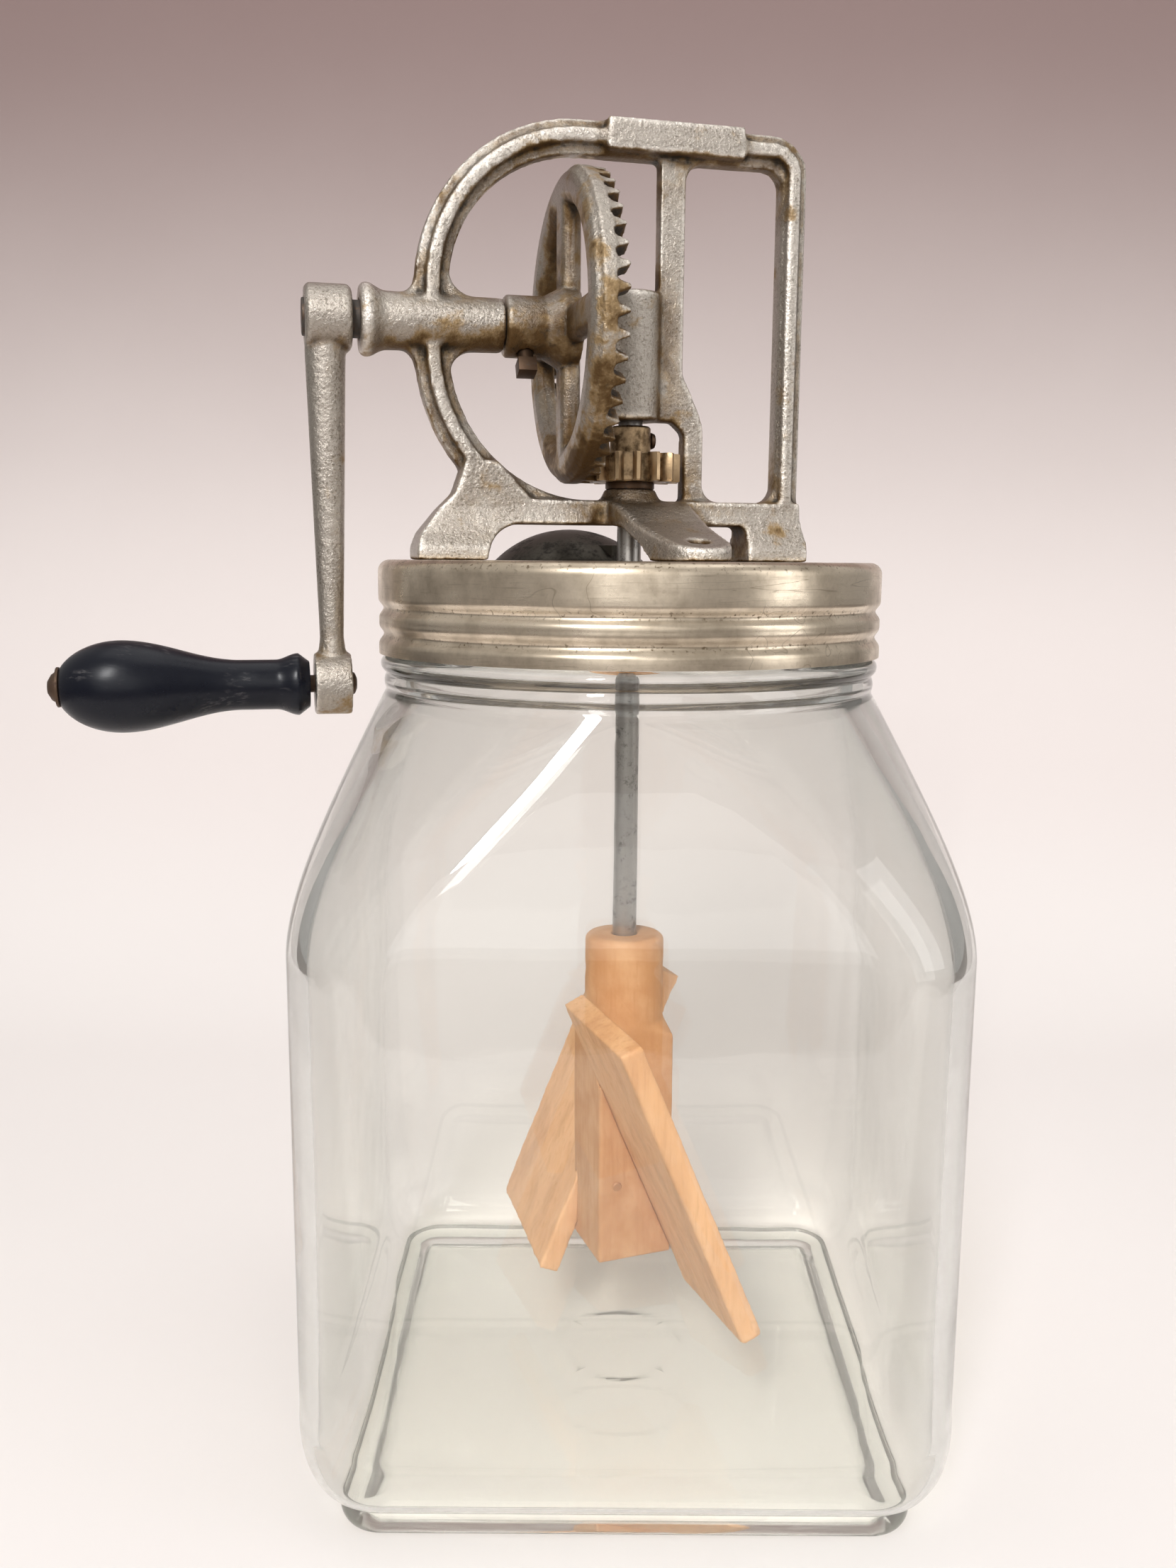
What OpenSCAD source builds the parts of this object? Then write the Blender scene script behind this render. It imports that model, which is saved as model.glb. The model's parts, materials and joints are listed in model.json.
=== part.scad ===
// Hand cranked glass churn: a square glass jar, a screw lid that carries a cast gear frame,
// a crank with a crown wheel, and a wooden dasher turned three times as fast by a pinion.
// Millimetres. The origin is the middle of the jar's base, with +Z up and the front at -Y.

/* [Jar] */
// Width of the square body across its flats
jar_width = 162; // [140:1:190]
// Width of the foot across its flats
foot_width = 141; // [120:1:150]
// Radius of the foot's upright corners
foot_corner = 11; // [6:0.5:20]
// Height of the foot's upright edge
foot_height = 6; // [3:0.5:12]
// Height at which the heel curve meets the upright sides
heel_height = 28; // [20:1:45]
// Height at which the upright sides end and the shoulder begins
side_top = 142; // [110:1:165]
// Height at which the shoulder meets the round neck
neck_base = 200; // [185:1:230]
// Radius of the body's upright corners
corner_radius = 28; // [15:1:40]
// Thickness of the glass wall
glass_wall = 5; // [3:0.5:7]
// Thickness of the glass floor
glass_floor = 10; // [6:0.5:14]
// Radius of the round neck
neck_radius = 62.6; // [56:0.1:66]
// How far the bead stands out from the neck
bead_out = 2.7; // [1:0.1:4]
// Height of the finish from the neck's base to the rim
finish_height = 30.7; // [26:0.1:36]
// How far the jar's thread stands out
thread_out = 1.3; // [0.6:0.1:2]

/* [Lid] */
// Thickness of the lid's sheet metal
lid_sheet = 0.7; // [0.5:0.1:1.2]
// Room between the jar's thread and the lid's rolled groove
lid_room = 0.6; // [0.3:0.1:1.2]
// Depth of the lid's rolled grooves
groove_depth = 1.3; // [0.8:0.1:2]
// Radius of the lid's rolled top edge
lid_edge = 3; // [1.5:0.5:4]
// Thickness of the rubber gasket
gasket_thickness = 1.6; // [1:0.1:3]
// Radius of the domed vent cap
vent_radius = 21; // [16:0.5:24]
// Height of the domed vent cap
vent_height = 8.7; // [5:0.1:9]
// Distance of the vent cap's middle from the lid's middle
vent_reach = 31.4; // [28:0.1:36]
// Bearing of the vent cap from the crank axis
vent_bearing = 107; // [90:1:125]

/* [Frame] */
// Turn of the whole head on the jar, crank end towards the front
head_turn = 14; // [0:1:45]
// Height of the open arches under the frame
leg_height = 9.2; // [7:0.1:14]
// Depth of the frame's base bar
bar_depth = 6.3; // [5:0.1:9]
// Width of the frame's curved band and uprights
band_width = 8.4; // [7:0.1:11]
// Thickness of the band's flange
flange_thickness = 5; // [4:0.1:7]
// Width of the rib along the band
rib_width = 3.4; // [2:0.1:5]
// Thickness of the frame over its ribs
rib_thickness = 9.6; // [8:0.1:14]
// Inner radius of the arch's lower bend
arch_radius = 36.5; // [30:0.5:40]
// Inner radius of the arch's upper bend
arch_top_radius = 33.5; // [28:0.5:40]
// Width of the hand loop
loop_width = 25.7; // [22:0.1:34]
// Width of the post between the gear window and the hand loop
post_width = 7; // [5:0.1:10]
// Width of the upright beside the hand loop
upright_width = 7; // [5.5:0.1:10]
// Length of the bare plate on the top bar
plate_length = 36; // [24:0.5:44]
// Diameter of the crank bearing
boss_diameter = 14; // [13:0.1:18]
// Length of the crank bearing
boss_length = 35.8; // [28:0.1:42]
// Diameter of the flange at the bearing's open end
boss_flange = 17.6; // [16:0.1:22]
// Diameter of the dasher's upper bearing
post_boss = 15; // [12:0.1:18]
// Distance from the dasher axis to the front foot
front_reach = 38; // [32:0.5:42]
// Running clearance of a shaft in its bearing, on the radius
run_clearance = 0.06; // [0.03:0.01:0.1]

/* [Gears] */
// Tooth size of both gears, pitch diameter per tooth
gear_module = 1.59; // [1.45:0.005:1.7]
// Teeth on the crown wheel
wheel_teeth = 45; // [40:1:48]
// Teeth on the pinion
pinion_teeth = 15; // [13:1:16]
// Radial length of the crown wheel's teeth
tooth_length = 5.2; // [4:0.1:6]
// Share of the pitch that a tooth fills
tooth_share = 0.39; // [0.34:0.01:0.41]
// Thickness of the crown wheel's rim
rim_thickness = 5.6; // [4:0.1:8]
// Width of the crown wheel's rim
rim_width = 9; // [7:0.1:12]
// Width of a spoke
spoke_width = 9; // [6:0.1:11]
// Diameter of the crown wheel's hub
wheel_hub = 15.2; // [13:0.1:18]
// Length of the crown wheel's hub beside the rim
wheel_hub_length = 14; // [10:0.1:18]
// Height of the pinion's teeth
pinion_face = 7.2; // [6:0.1:9]
// Diameter of the pinion's hub
pinion_hub = 10.6; // [9.5:0.1:12]
// Height of the pinion's hub
pinion_hub_height = 7; // [6:0.1:9]
// Thickness of the washer under the pinion
washer_thickness = 1.8; // [1:0.1:2.5]

/* [Crank] */
// Diameter of the crank shaft
crank_shaft_diameter = 9; // [8:0.1:10]
// Distance from the crank axis to the handle's pin
crank_throw = 89.3; // [70:0.1:100]
// Diameter of the crank's hub
crank_hub = 16; // [14:0.1:20]
// Length of the crank's hub
crank_hub_length = 11.4; // [9:0.1:14]
// Diameter of the crank arm beside its hub
arm_top = 10.4; // [8:0.1:11]
// Diameter of the crank arm beside the handle
arm_bottom = 6; // [5:0.1:8]
// Diameter of the eye that holds the handle's pin
eye_diameter = 15.6; // [13:0.1:18]
// Length of the eye
eye_length = 9.2; // [7:0.1:11]

/* [Handle] */
// Length of the turned grip
grip_length = 59.2; // [50:0.1:70]
// Largest diameter of the grip
grip_diameter = 22.6; // [20:0.1:26]
// Diameter of the grip's waist
grip_waist = 12.5; // [11:0.1:14]
// Diameter of the flare at the grip's inner end
grip_flare = 15.6; // [14.5:0.1:18]
// Diameter of the handle's pin
pin_diameter = 4.4; // [3.5:0.1:5.5]

/* [Dasher] */
// Diameter of the dasher shaft
shaft_diameter = 6.35; // [5.5:0.05:7]
// Side of the square wooden post, and diameter of its turned top
post_side = 21.5; // [19:0.1:25]
// Height of the post's top above the base
post_top = 133; // [120:1:140]
// Length of the wooden post
post_length = 92; // [80:1:110]
// Length of the post's turned round top
post_round = 25; // [15:1:40]
// Depth of the shaft's bore in the post
shaft_depth = 48; // [30:1:52]
// Distance from the dasher's axis to a paddle's outer edge
paddle_reach = 50; // [36:0.5:51]
// Thickness of a paddle
paddle_thickness = 6; // [4:0.1:8]
// Pitch of a paddle from upright
paddle_pitch = 23; // [10:0.5:28]
// Distance from the post's top down to a paddle's middle
paddle_drop = 57; // [50:0.5:64]
// Length of a paddle above its middle
paddle_up = 45; // [30:0.5:48]
// Length of a paddle below its middle, at its inner edge
paddle_down = 49; // [35:0.5:56]
// How much higher the paddle's lower end is at its outer edge
paddle_rise = 5; // [0:0.5:12]
// Depth of the slanting groove that seats a paddle in the post
paddle_groove = 3; // [1.5:0.5:5]
// Turn of the dasher at rest
dasher_turn = 20; // [-45:0.5:45]

/* [Hidden] */
$fn = 64;
cut = 1;

// Jar and lid, derived
corner_steps = 13;
round_flat = 0.5;
curve_steps = 5;
shoulder_steps = 10;
shoulder_bend = 0.45;
finish_radius = neck_radius - 0.8;
thread_radius = finish_radius + thread_out;
mouth_radius = finish_radius - glass_wall;
rim_z = neck_base + finish_height;
bead_low = neck_base + 5;
bead_high = bead_low + 3.5;
lid_under = rim_z + gasket_thickness;
lid_top = lid_under + lid_sheet;
lid_low = bead_high + 0.7;
groove_radius = thread_radius + lid_room + lid_sheet;
lid_radius = groove_radius + groove_depth;
lid_skirt = lid_top - lid_low;
thread_z = lid_low + 0.35 * lid_skirt;

// Gears, derived
circular_pitch = PI * gear_module;
wheel_mean = gear_module * wheel_teeth / 2;
wheel_radius = wheel_mean + tooth_length / 2;
pinion_pitch = gear_module * pinion_teeth / 2;
addendum = 0.85 * gear_module;
pinion_addendum = 0.75 * gear_module;
dedendum = 1.25 * gear_module;
pressure_angle = 20;
tooth_tip_x = -pinion_pitch + addendum;
tooth_root_x = -pinion_pitch - dedendum;
rim_left_x = tooth_root_x - rim_thickness;
wheel_hub_x = rim_left_x - wheel_hub_length;
wheel_right_x = tooth_root_x - 0.8;
tooth_inset = 0.25;
shaft_radius = shaft_diameter / 2;
crank_radius = crank_shaft_diameter / 2;
fit_gap = 0.02;

// Frame, derived, with heights above the lid's top
end_gap = 0.3;
bar_top = leg_height + bar_depth;
seat_height = 3;
seat_radius = 6.6;
washer_z = bar_top + seat_height;
pinion_z = washer_z + washer_thickness;
pinion_hub_z = pinion_z + pinion_face;
post_boss_z = pinion_hub_z + pinion_hub_height + 1.2;
axis_z = bar_top + 4.2 + wheel_radius;
post_boss_top = axis_z + 9.7;
inner_top = axis_z + wheel_radius + 3.2;
frame_top = inner_top + band_width;
plate_rise = 0.3;
plate_thickness = 11.5;
boss_end_x = wheel_hub_x - end_gap;
boss_start_x = boss_end_x - boss_length;
boss_mid_x = (boss_start_x + boss_end_x) / 2;
arch_left = boss_mid_x + band_width / 2;
arch_x = arch_left + arch_radius;
arch_top_x = arch_left + arch_top_radius;
arch_high_z = inner_top - arch_top_radius;
arch_low_z = bar_top + arch_radius;
post_x = post_boss / 2 - 1;
loop_x = post_x + post_width;
upright_x = loop_x + loop_width;
frame_right = upright_x + upright_width;
corner_out = 10;
corner_in = 4.5;
web_gap = 0.8;
web_x = pinion_pitch + pinion_addendum + web_gap;
web_width = 5.4;
web_rise = 12;
left_foot_x = boss_mid_x - band_width / 2 - 1;
foot_flare = 1.2;
left_foot_length = 18;
right_foot_length = 17;
foot_spread = 9;
pad_radius = 8;
pad_height = 4.8;
arch_round = leg_height;
front_foot = [6.5, -front_reach];
left_foot = [left_foot_x + left_foot_length / 2, 0];
right_foot = [frame_right - 10, 9];
screw_radius = 2.5;
screw_head = 4.6;
screw_head_height = 2.2;
gear_screw_radius = 2;
gear_screw_head = [4.6, 4.6, 3.6];
pinion_screw_radius = 1.5;

// Crank and handle, derived
hub_gap = 1.7;
crank_hub_x = boss_start_x - hub_gap;
crank_mid_x = crank_hub_x - crank_hub_length / 2;
eye_x = crank_mid_x - eye_length / 2 - 0.8;
eye_z = axis_z - crank_throw;
grip_gap = 1.2;
grip_x = eye_x - grip_gap;
pin_radius = pin_diameter / 2;
washer_radius = 4.9;
washer_cap = 0.8;
cap_gap = 0.3;
cap_x = grip_x - grip_length - cap_gap - washer_cap;
head_radius = 3.9;
riveted_radius = 3.1;

// Dasher, derived, with heights above the jar's base
post_half = post_side / 2;
post_low = post_top - post_length;
paddle_z = post_top - paddle_drop;
post_shoulder = 4;
shaft_low = post_top - shaft_depth;
shaft_high = lid_top + post_boss_top - 2;
paddle_inner = post_half - paddle_groove;
nail_radius = 0.8;
nail_head = 1.3;
nail_head_height = 0.4;
nail_bite = 14;
nail_length = post_half + paddle_inner + nail_bite;
nail_spots = [-14, 14];
post_pin_radius = 1.3;
post_pin_z = post_top - 10;
post_pin_bearing = -20;

// Moves the head's pieces to the lid's top, turned with the head
module on_lid() {
    translate([0, 0, lid_top]) rotate([0, 0, head_turn]) children();
}

// A flat shape drawn in the frame's plane, with this thickness across it
module upright(thickness) {
    rotate([90, 0, 0]) linear_extrude(thickness, center = true) children();
}

// A shape of revolution about the crank axis, drawn with the axis upwards
module along_crank(height = axis_z) {
    translate([0, 0, height]) rotate([0, 90, 0]) children();
}

// A rectangle with round corners, from its lowest corner
module round_box(size, radius) {
    translate([radius, 0]) square([size[0] - 2 * radius, size[1]]);
    translate([0, radius]) square([size[0], size[1] - 2 * radius]);
    for (x = [radius, size[0] - radius], y = [radius, size[1] - radius])
        translate([x, y]) circle(radius);
}

// The material that fills an inside corner with a radius
module corner_fill(radius) {
    difference() {
        square(radius);
        translate([radius, radius]) circle(radius);
    }
}

// Points of one level ring of the jar: half width, corner radius and height
function jar_ring(half, corner, z) = [
    for (side = [0:3], step = [0:corner_steps])
        let (angle = 90 * step / corner_steps,
             flat = half - corner,
             x = flat + corner * cos(angle),
             y = flat + corner * sin(angle),
             turn = 90 * side)
        [x * cos(turn) - y * sin(turn), x * sin(turn) + y * cos(turn), z]
];

function blend(a, b, t) = a + (b - a) * t;

// How far the shoulder has come in from the side's top, 0, to the neck, 1: a bend and then a straight slope
function shoulder_in(t) =
    (sqrt(t * t + shoulder_bend * shoulder_bend) - shoulder_bend)
    / (sqrt(1 + shoulder_bend * shoulder_bend) - shoulder_bend);

function shoulder_ring(t, body, neck, corner, low, high) =
    let (half = blend(body, neck, shoulder_in(t)))
    [half, blend(corner, half - round_flat, pow(t, 1.5)), blend(low, high, t)];

function round_ring(radius, z) = [radius, radius - round_flat, z];

body_half = jar_width / 2;
foot_half = foot_width / 2;
inner_half = body_half - glass_wall;
inner_corner = corner_radius - glass_wall;
inner_neck_z = neck_base + 3;
floor_half = foot_half - 1.5;
floor_bend = 13;
edge_round = 1.5;
foot_notch = 0.8;
notch_z = foot_height + 1.5;

outer_rings = concat(
    [[foot_half - edge_round, foot_corner - edge_round, 0],
     [foot_half, foot_corner, edge_round],
     [foot_half, foot_corner, foot_height],
     [foot_half - foot_notch, foot_corner, notch_z]],
    [for (step = [1:curve_steps])
        let (t = step / curve_steps)
        [blend(foot_half - foot_notch, body_half, sin(90 * t)),
         blend(foot_corner, corner_radius, t),
         blend(notch_z, heel_height, 1 - cos(90 * t))]],
    [for (step = [0:shoulder_steps])
        shoulder_ring(step / shoulder_steps, body_half, neck_radius, corner_radius, side_top, neck_base)],
    [round_ring(neck_radius, bead_low - 1),
     round_ring(neck_radius + bead_out, bead_low),
     round_ring(neck_radius + bead_out, bead_high - 1),
     round_ring(neck_radius + bead_out - 1.2, bead_high),
     round_ring(finish_radius, bead_high + 0.3),
     round_ring(finish_radius, thread_z - 2),
     round_ring(thread_radius, thread_z - 0.7),
     round_ring(thread_radius, thread_z + 0.7),
     round_ring(finish_radius, thread_z + 2),
     round_ring(finish_radius, rim_z - 1),
     round_ring(finish_radius - 1, rim_z)]
);

inner_rings = concat(
    [round_ring(mouth_radius + 1, rim_z),
     round_ring(mouth_radius, rim_z - 1)],
    [for (step = [shoulder_steps:-1:0])
        shoulder_ring(step / shoulder_steps, inner_half, mouth_radius, inner_corner,
                      side_top - 2, inner_neck_z)],
    [for (step = [curve_steps:-1:0])
        let (t = step / curve_steps)
        [blend(floor_half, inner_half, sin(90 * t)),
         blend(foot_corner - 1, inner_corner, t),
         blend(glass_floor, glass_floor + floor_bend, 1 - cos(90 * t))]]
);

module glass_jar() {
    rings = concat(outer_rings, inner_rings);
    count = 4 * (corner_steps + 1);
    points = [for (r = rings) each jar_ring(r[0], r[1], r[2])];
    walls = [
        for (i = [0:len(rings) - 2], k = [0:count - 1])
            let (a = i * count + k, b = i * count + (k + 1) % count)
            each [[a, a + count, b + count], [a, b + count, b]]
    ];
    base = [for (k = [0:count - 1]) k];
    floor_start = (len(rings) - 1) * count;
    floor_face = [for (k = [count - 1:-1:0]) floor_start + k];
    color([0.80, 0.86, 0.82, 0.35])
        polyhedron(points = points, faces = concat([base], walls, [floor_face]), convexity = 6);
}

module lid_gasket() {
    color([0.35, 0.30, 0.26])
        translate([0, 0, rim_z]) difference() {
            cylinder(h = gasket_thickness, r = finish_radius);
            translate([0, 0, -cut]) cylinder(h = gasket_thickness + 2 * cut, r = mouth_radius + 0.5);
        }
}

// The lid's outside from its top edge down to its lip, moved in by a wall
function lid_path(wall) = concat(
    [for (step = [0:curve_steps])
        let (angle = 90 - 90 * step / curve_steps, radius = lid_edge - wall)
        [lid_radius - lid_edge + radius * cos(angle), lid_top - lid_edge + radius * sin(angle)]],
    [[lid_radius - wall, lid_low + 0.57 * lid_skirt],
     [groove_radius - wall, lid_low + 0.48 * lid_skirt],
     [groove_radius + 0.9 * groove_depth - wall, lid_low + 0.40 * lid_skirt],
     [groove_radius + 0.9 * groove_depth - wall, lid_low + 0.30 * lid_skirt],
     [groove_radius - wall, lid_low + 0.21 * lid_skirt],
     [lid_radius - wall, lid_low + 0.11 * lid_skirt],
     [lid_radius - wall, lid_low]]
);

module screw_lid() {
    inside = lid_path(lid_sheet);
    color([0.66, 0.63, 0.56]) difference() {
        rotate_extrude($fn = 128) polygon(concat(
            [[0, lid_top]], lid_path(0),
            [for (i = [len(inside) - 1:-1:0]) inside[i]], [[0, lid_under]]
        ));
        translate([0, 0, lid_under - cut])
            cylinder(h = lid_sheet + 2 * cut, r = shaft_radius + 0.6);
        on_lid() {
            for (foot = [left_foot, right_foot, front_foot])
                translate([foot[0], foot[1], -lid_sheet - cut])
                    cylinder(h = lid_sheet + 2 * cut, r = screw_radius + fit_gap);
            vent_place() translate([0, 0, -lid_sheet - cut])
                cylinder(h = lid_sheet + 2 * cut, r = 0.6 * vent_radius);
        }
    }
}

module vent_place() {
    rotate([0, 0, vent_bearing]) translate([vent_reach, 0, 0]) children();
}

// The vent cap's dome as a ring of points, moved in by a wall
function dome_path(wall) =
    let (crown = (vent_radius * vent_radius + vent_height * vent_height) / (2 * vent_height),
         spread = asin(vent_radius / crown))
    [for (step = [0:12])
        let (angle = spread * step / 12)
        [(crown - wall) * sin(angle), vent_height - crown + (crown - wall) * cos(angle)]];

module vent_cap() {
    vent_sheet = 0.6;
    outside = dome_path(0);
    inside = dome_path(vent_sheet);
    louvre = [11, 3.2, 3.4];
    color([0.24, 0.24, 0.22]) on_lid() vent_place() difference() {
        union() {
            rotate_extrude() polygon(concat(
                [for (p = outside) if (p[1] > 0.01) p],
                [[vent_radius, 0], [vent_radius - 1.5, 0]],
                [for (i = [12:-1:0]) if (inside[i][1] > 0.4) inside[i]]
            ));
            rotate([0, 0, -vent_bearing - 52]) translate([0.62 * vent_radius, -louvre[0] / 2, 0.8])
                cube([vent_radius * 0.3, louvre[0], louvre[2]]);
        }
        rotate([0, 0, -vent_bearing - 52]) translate([0.5 * vent_radius, 1 - louvre[0] / 2, 1.4])
            cube([vent_radius * 0.36, louvre[0] - 2, louvre[2] - 1.4]);
    }
}

// The left half of the frame's D-shaped window, grown by a margin
module arch_side(grow) {
    height = arch_high_z - arch_low_z;
    intersection() {
        union() {
            translate([arch_top_x, arch_high_z]) circle(arch_top_radius + grow);
            translate([arch_x, arch_low_z]) circle(arch_radius + grow);
            translate([arch_left - grow, arch_low_z]) square([arch_x - arch_left + grow, height]);
            translate([arch_top_x, arch_high_z]) square([arch_x - arch_top_x, arch_top_radius + grow]);
        }
        translate([arch_left - grow, 0]) square([arch_x - arch_left + grow, frame_top]);
    }
}

module arch_band(inner, outer) {
    difference() {
        arch_side(outer);
        arch_side(inner);
    }
}

// The frame's curved band, top bar, post, hand loop and gear web, seen from the front
module frame_flange() {
    difference() {
        arch_band(0, band_width);
        under_arch();
        translate([arch_x - band_width, 0]) square([2 * band_width, leg_height]);
    }
    translate([arch_x, inner_top]) square([frame_right - corner_out - arch_x, band_width]);
    translate([post_x, post_boss_z]) square([post_width, inner_top - post_boss_z + cut]);
    difference() {
        union() {
            translate([upright_x - corner_in, leg_height])
                square([upright_width + corner_in, frame_top - corner_out - leg_height]);
            translate([frame_right - corner_out, frame_top - corner_out]) circle(corner_out);
        }
        translate([loop_x, bar_top]) round_box([loop_width, inner_top - bar_top], corner_in);
    }
    translate([loop_x, inner_top]) mirror([0, 1]) corner_fill(corner_in);
    polygon([
        [post_x, post_boss_z], [web_x - 3, post_boss_z], [web_x, post_boss_z - 3], [web_x, bar_top - cut],
        [web_x + web_width, bar_top - cut], [web_x + web_width, post_boss_z - 2],
        [web_x + web_width - 1.5, post_boss_z + 3], [loop_x, post_boss_z + web_rise]
    ]);
    translate([web_x + web_width, bar_top]) corner_fill(corner_in);
    for (side = [0, 1], above = [0, 1])
        translate([boss_mid_x + (side ? 1 : -1) * band_width / 2,
                   axis_z + (above ? 1 : -1) * boss_diameter * 0.46])
            mirror([side ? 0 : 1, 0]) mirror([0, above ? 0 : 1]) corner_fill(side ? 6.5 : 4.5);
}

// The open arch under the frame's base bar, left of the front leg
module under_arch() {
    inner_foot_x = left_foot_x + left_foot_length;
    translate([inner_foot_x + arch_round, 0]) circle(arch_round);
    translate([inner_foot_x + arch_round, -cut])
        square([arch_x - inner_foot_x - arch_round, leg_height + cut]);
}

module frame_rib() {
    half = rib_width / 2;
    difference() {
        arch_band(band_width / 2 - half, band_width / 2 + half);
        translate([left_foot_x, 0]) square([arch_x - left_foot_x, bar_top + 2]);
    }
    translate([arch_x, inner_top + band_width / 2 - half])
        square([frame_right - corner_out - arch_x, rib_width]);
    translate([frame_right - corner_out, frame_top - corner_out]) intersection() {
        difference() {
            circle(corner_out - band_width / 2 + half);
            circle(corner_out - band_width / 2 - half);
        }
        square(corner_out);
    }
    translate([frame_right - band_width / 2 - half, leg_height + 2])
        square([rib_width, frame_top - corner_out - leg_height - 2]);
}

// The left foot from the front: from the arch's lower bend to its pad
module left_foot_front() {
    foot_in = left_foot_x + left_foot_length;
    difference() {
        polygon([
            [left_foot_x, 0], [left_foot_x, 3.2], [left_foot_x + 1.2, 6.8], [left_foot_x + 6, 12.8],
            [left_foot_x + 10, 16.6], [left_foot_x + 11.6, 21], [left_foot_x + 13, 25],
            [left_foot_x + 21, 25], [foot_in + 12, bar_top], [arch_x, bar_top],
            [arch_x, 0]
        ]);
        under_arch();
        arch_side(0);
    }
}

// The right foot from the front, under the upright
module right_foot_front() {
    foot_in = frame_right + foot_flare - right_foot_length;
    difference() {
        polygon([
            [foot_in - arch_round, bar_top], [foot_in - arch_round, leg_height], [foot_in, leg_height],
            [foot_in, 0], [frame_right + foot_flare, 0], [frame_right + foot_flare, 5],
            [frame_right, leg_height + 1.5], [frame_right, bar_top]
        ]);
        translate([foot_in - arch_round / 2, leg_height / 2]) circle(leg_height / 2);
    }
}

// A foot's shape from the end: narrow above and spread at its pad
module foot_end(spread) {
    half = rib_thickness / 2;
    polygon([
        [-spread, 0], [spread, 0], [spread, 3], [blend(spread, half, 0.6), 7.5], [half, 13],
        [half, 26], [-half, 26], [-half, 13], [-blend(spread, half, 0.6), 7.5], [-spread, 3]
    ]);
}

module spread_foot(spread, middle_x, length) {
    intersection() {
        upright(2 * spread) children();
        translate([middle_x, 0, 0]) rotate([90, 0, 90])
            linear_extrude(length, center = true) foot_end(spread);
    }
}

// The front leg: its outline from above, cut to its shape from the side
module front_leg() {
    back = rib_thickness / 2;
    edge = front_reach + pad_radius;
    intersection() {
        union() {
            linear_extrude(bar_top) polygon([
                [-9, back], [web_x, back], [front_foot[0] + pad_radius, front_foot[1]],
                [front_foot[0] - pad_radius, front_foot[1]]
            ]);
            translate([front_foot[0], front_foot[1], 0]) cylinder(h = bar_top, r = pad_radius);
        }
        translate([front_foot[0], 0, 0]) rotate([90, 0, -90])
            linear_extrude(80, center = true) polygon([
                [-back, bar_top], [back, bar_top], [back + 5, bar_top - 1.2],
                [0.55 * front_reach, 9.6], [front_reach - pad_radius, pad_height + 2.2],
                [edge, 3], [edge, 0], [front_reach - pad_radius - 1, 0], [front_reach - 15, 4.2],
                [0.35 * front_reach, leg_height - 1], [back, leg_height], [-back, leg_height]
            ]);
    }
}

module gear_frame() {
    color([0.68, 0.66, 0.62]) on_lid() difference() {
        union() {
            upright(flange_thickness) frame_flange();
            upright(rib_thickness) frame_rib();
            upright(rib_thickness) translate([arch_x, leg_height])
                square([frame_right - arch_x, bar_depth]);
            upright(plate_thickness) translate([post_x + post_width / 2 - plate_length / 2, inner_top + 1])
                square([plate_length, band_width - 1 + plate_rise]);
            spread_foot(foot_spread, left_foot[0], 80) left_foot_front();
            spread_foot(foot_spread - 1, frame_right - 8, 40) right_foot_front();
            translate([right_foot[0], right_foot[1], 0]) cylinder(h = pad_height - 1, r = pad_radius);
            front_leg();
            translate([0, 0, bar_top - cut])
                cylinder(h = seat_height + cut, r1 = seat_radius + 1.8, r2 = seat_radius);
            translate([0, 0, post_boss_z])
                cylinder(h = post_boss_top - post_boss_z, d = post_boss);
            along_crank() translate([0, 0, boss_start_x]) rotate_extrude() polygon([
                [0, 0], [boss_flange / 2 - 1, 0], [boss_flange / 2, 1], [boss_flange / 2, 2.6],
                [boss_diameter / 2 + 0.6, 4.6], [boss_diameter / 2, 6],
                [boss_diameter / 2 - 0.4, boss_length], [0, boss_length]
            ]);
        }
        along_crank() translate([0, 0, boss_start_x - cut])
            cylinder(h = boss_length + 2 * cut, r = crank_radius + run_clearance);
        translate([0, 0, -cut])
            cylinder(h = post_boss_top + 2 * cut, r = shaft_radius + run_clearance);
        for (foot = [left_foot, right_foot])
            translate([foot[0], foot[1], -cut])
                cylinder(h = pad_height - 1 + cut, r = screw_radius + fit_gap);
        translate([front_foot[0], front_foot[1], -cut])
            cylinder(h = bar_top, r = screw_radius + fit_gap);
    }
}

module frame_screws() {
    color([0.45, 0.42, 0.38]) on_lid()
        for (foot = [left_foot, right_foot, front_foot])
            translate([foot[0], foot[1], -lid_sheet]) {
                translate([0, 0, -screw_head_height]) cylinder(h = screw_head_height, r = screw_head);
                cylinder(h = lid_sheet + pad_height - (foot == front_foot ? 0 : 1.2), r = screw_radius);
            }
}

module crank_shaft() {
    start = crank_hub_x - crank_hub_length - 0.6;
    color([0.42, 0.40, 0.38]) on_lid() along_crank() translate([0, 0, start])
        cylinder(h = wheel_right_x - start, r = crank_radius);
}

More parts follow.
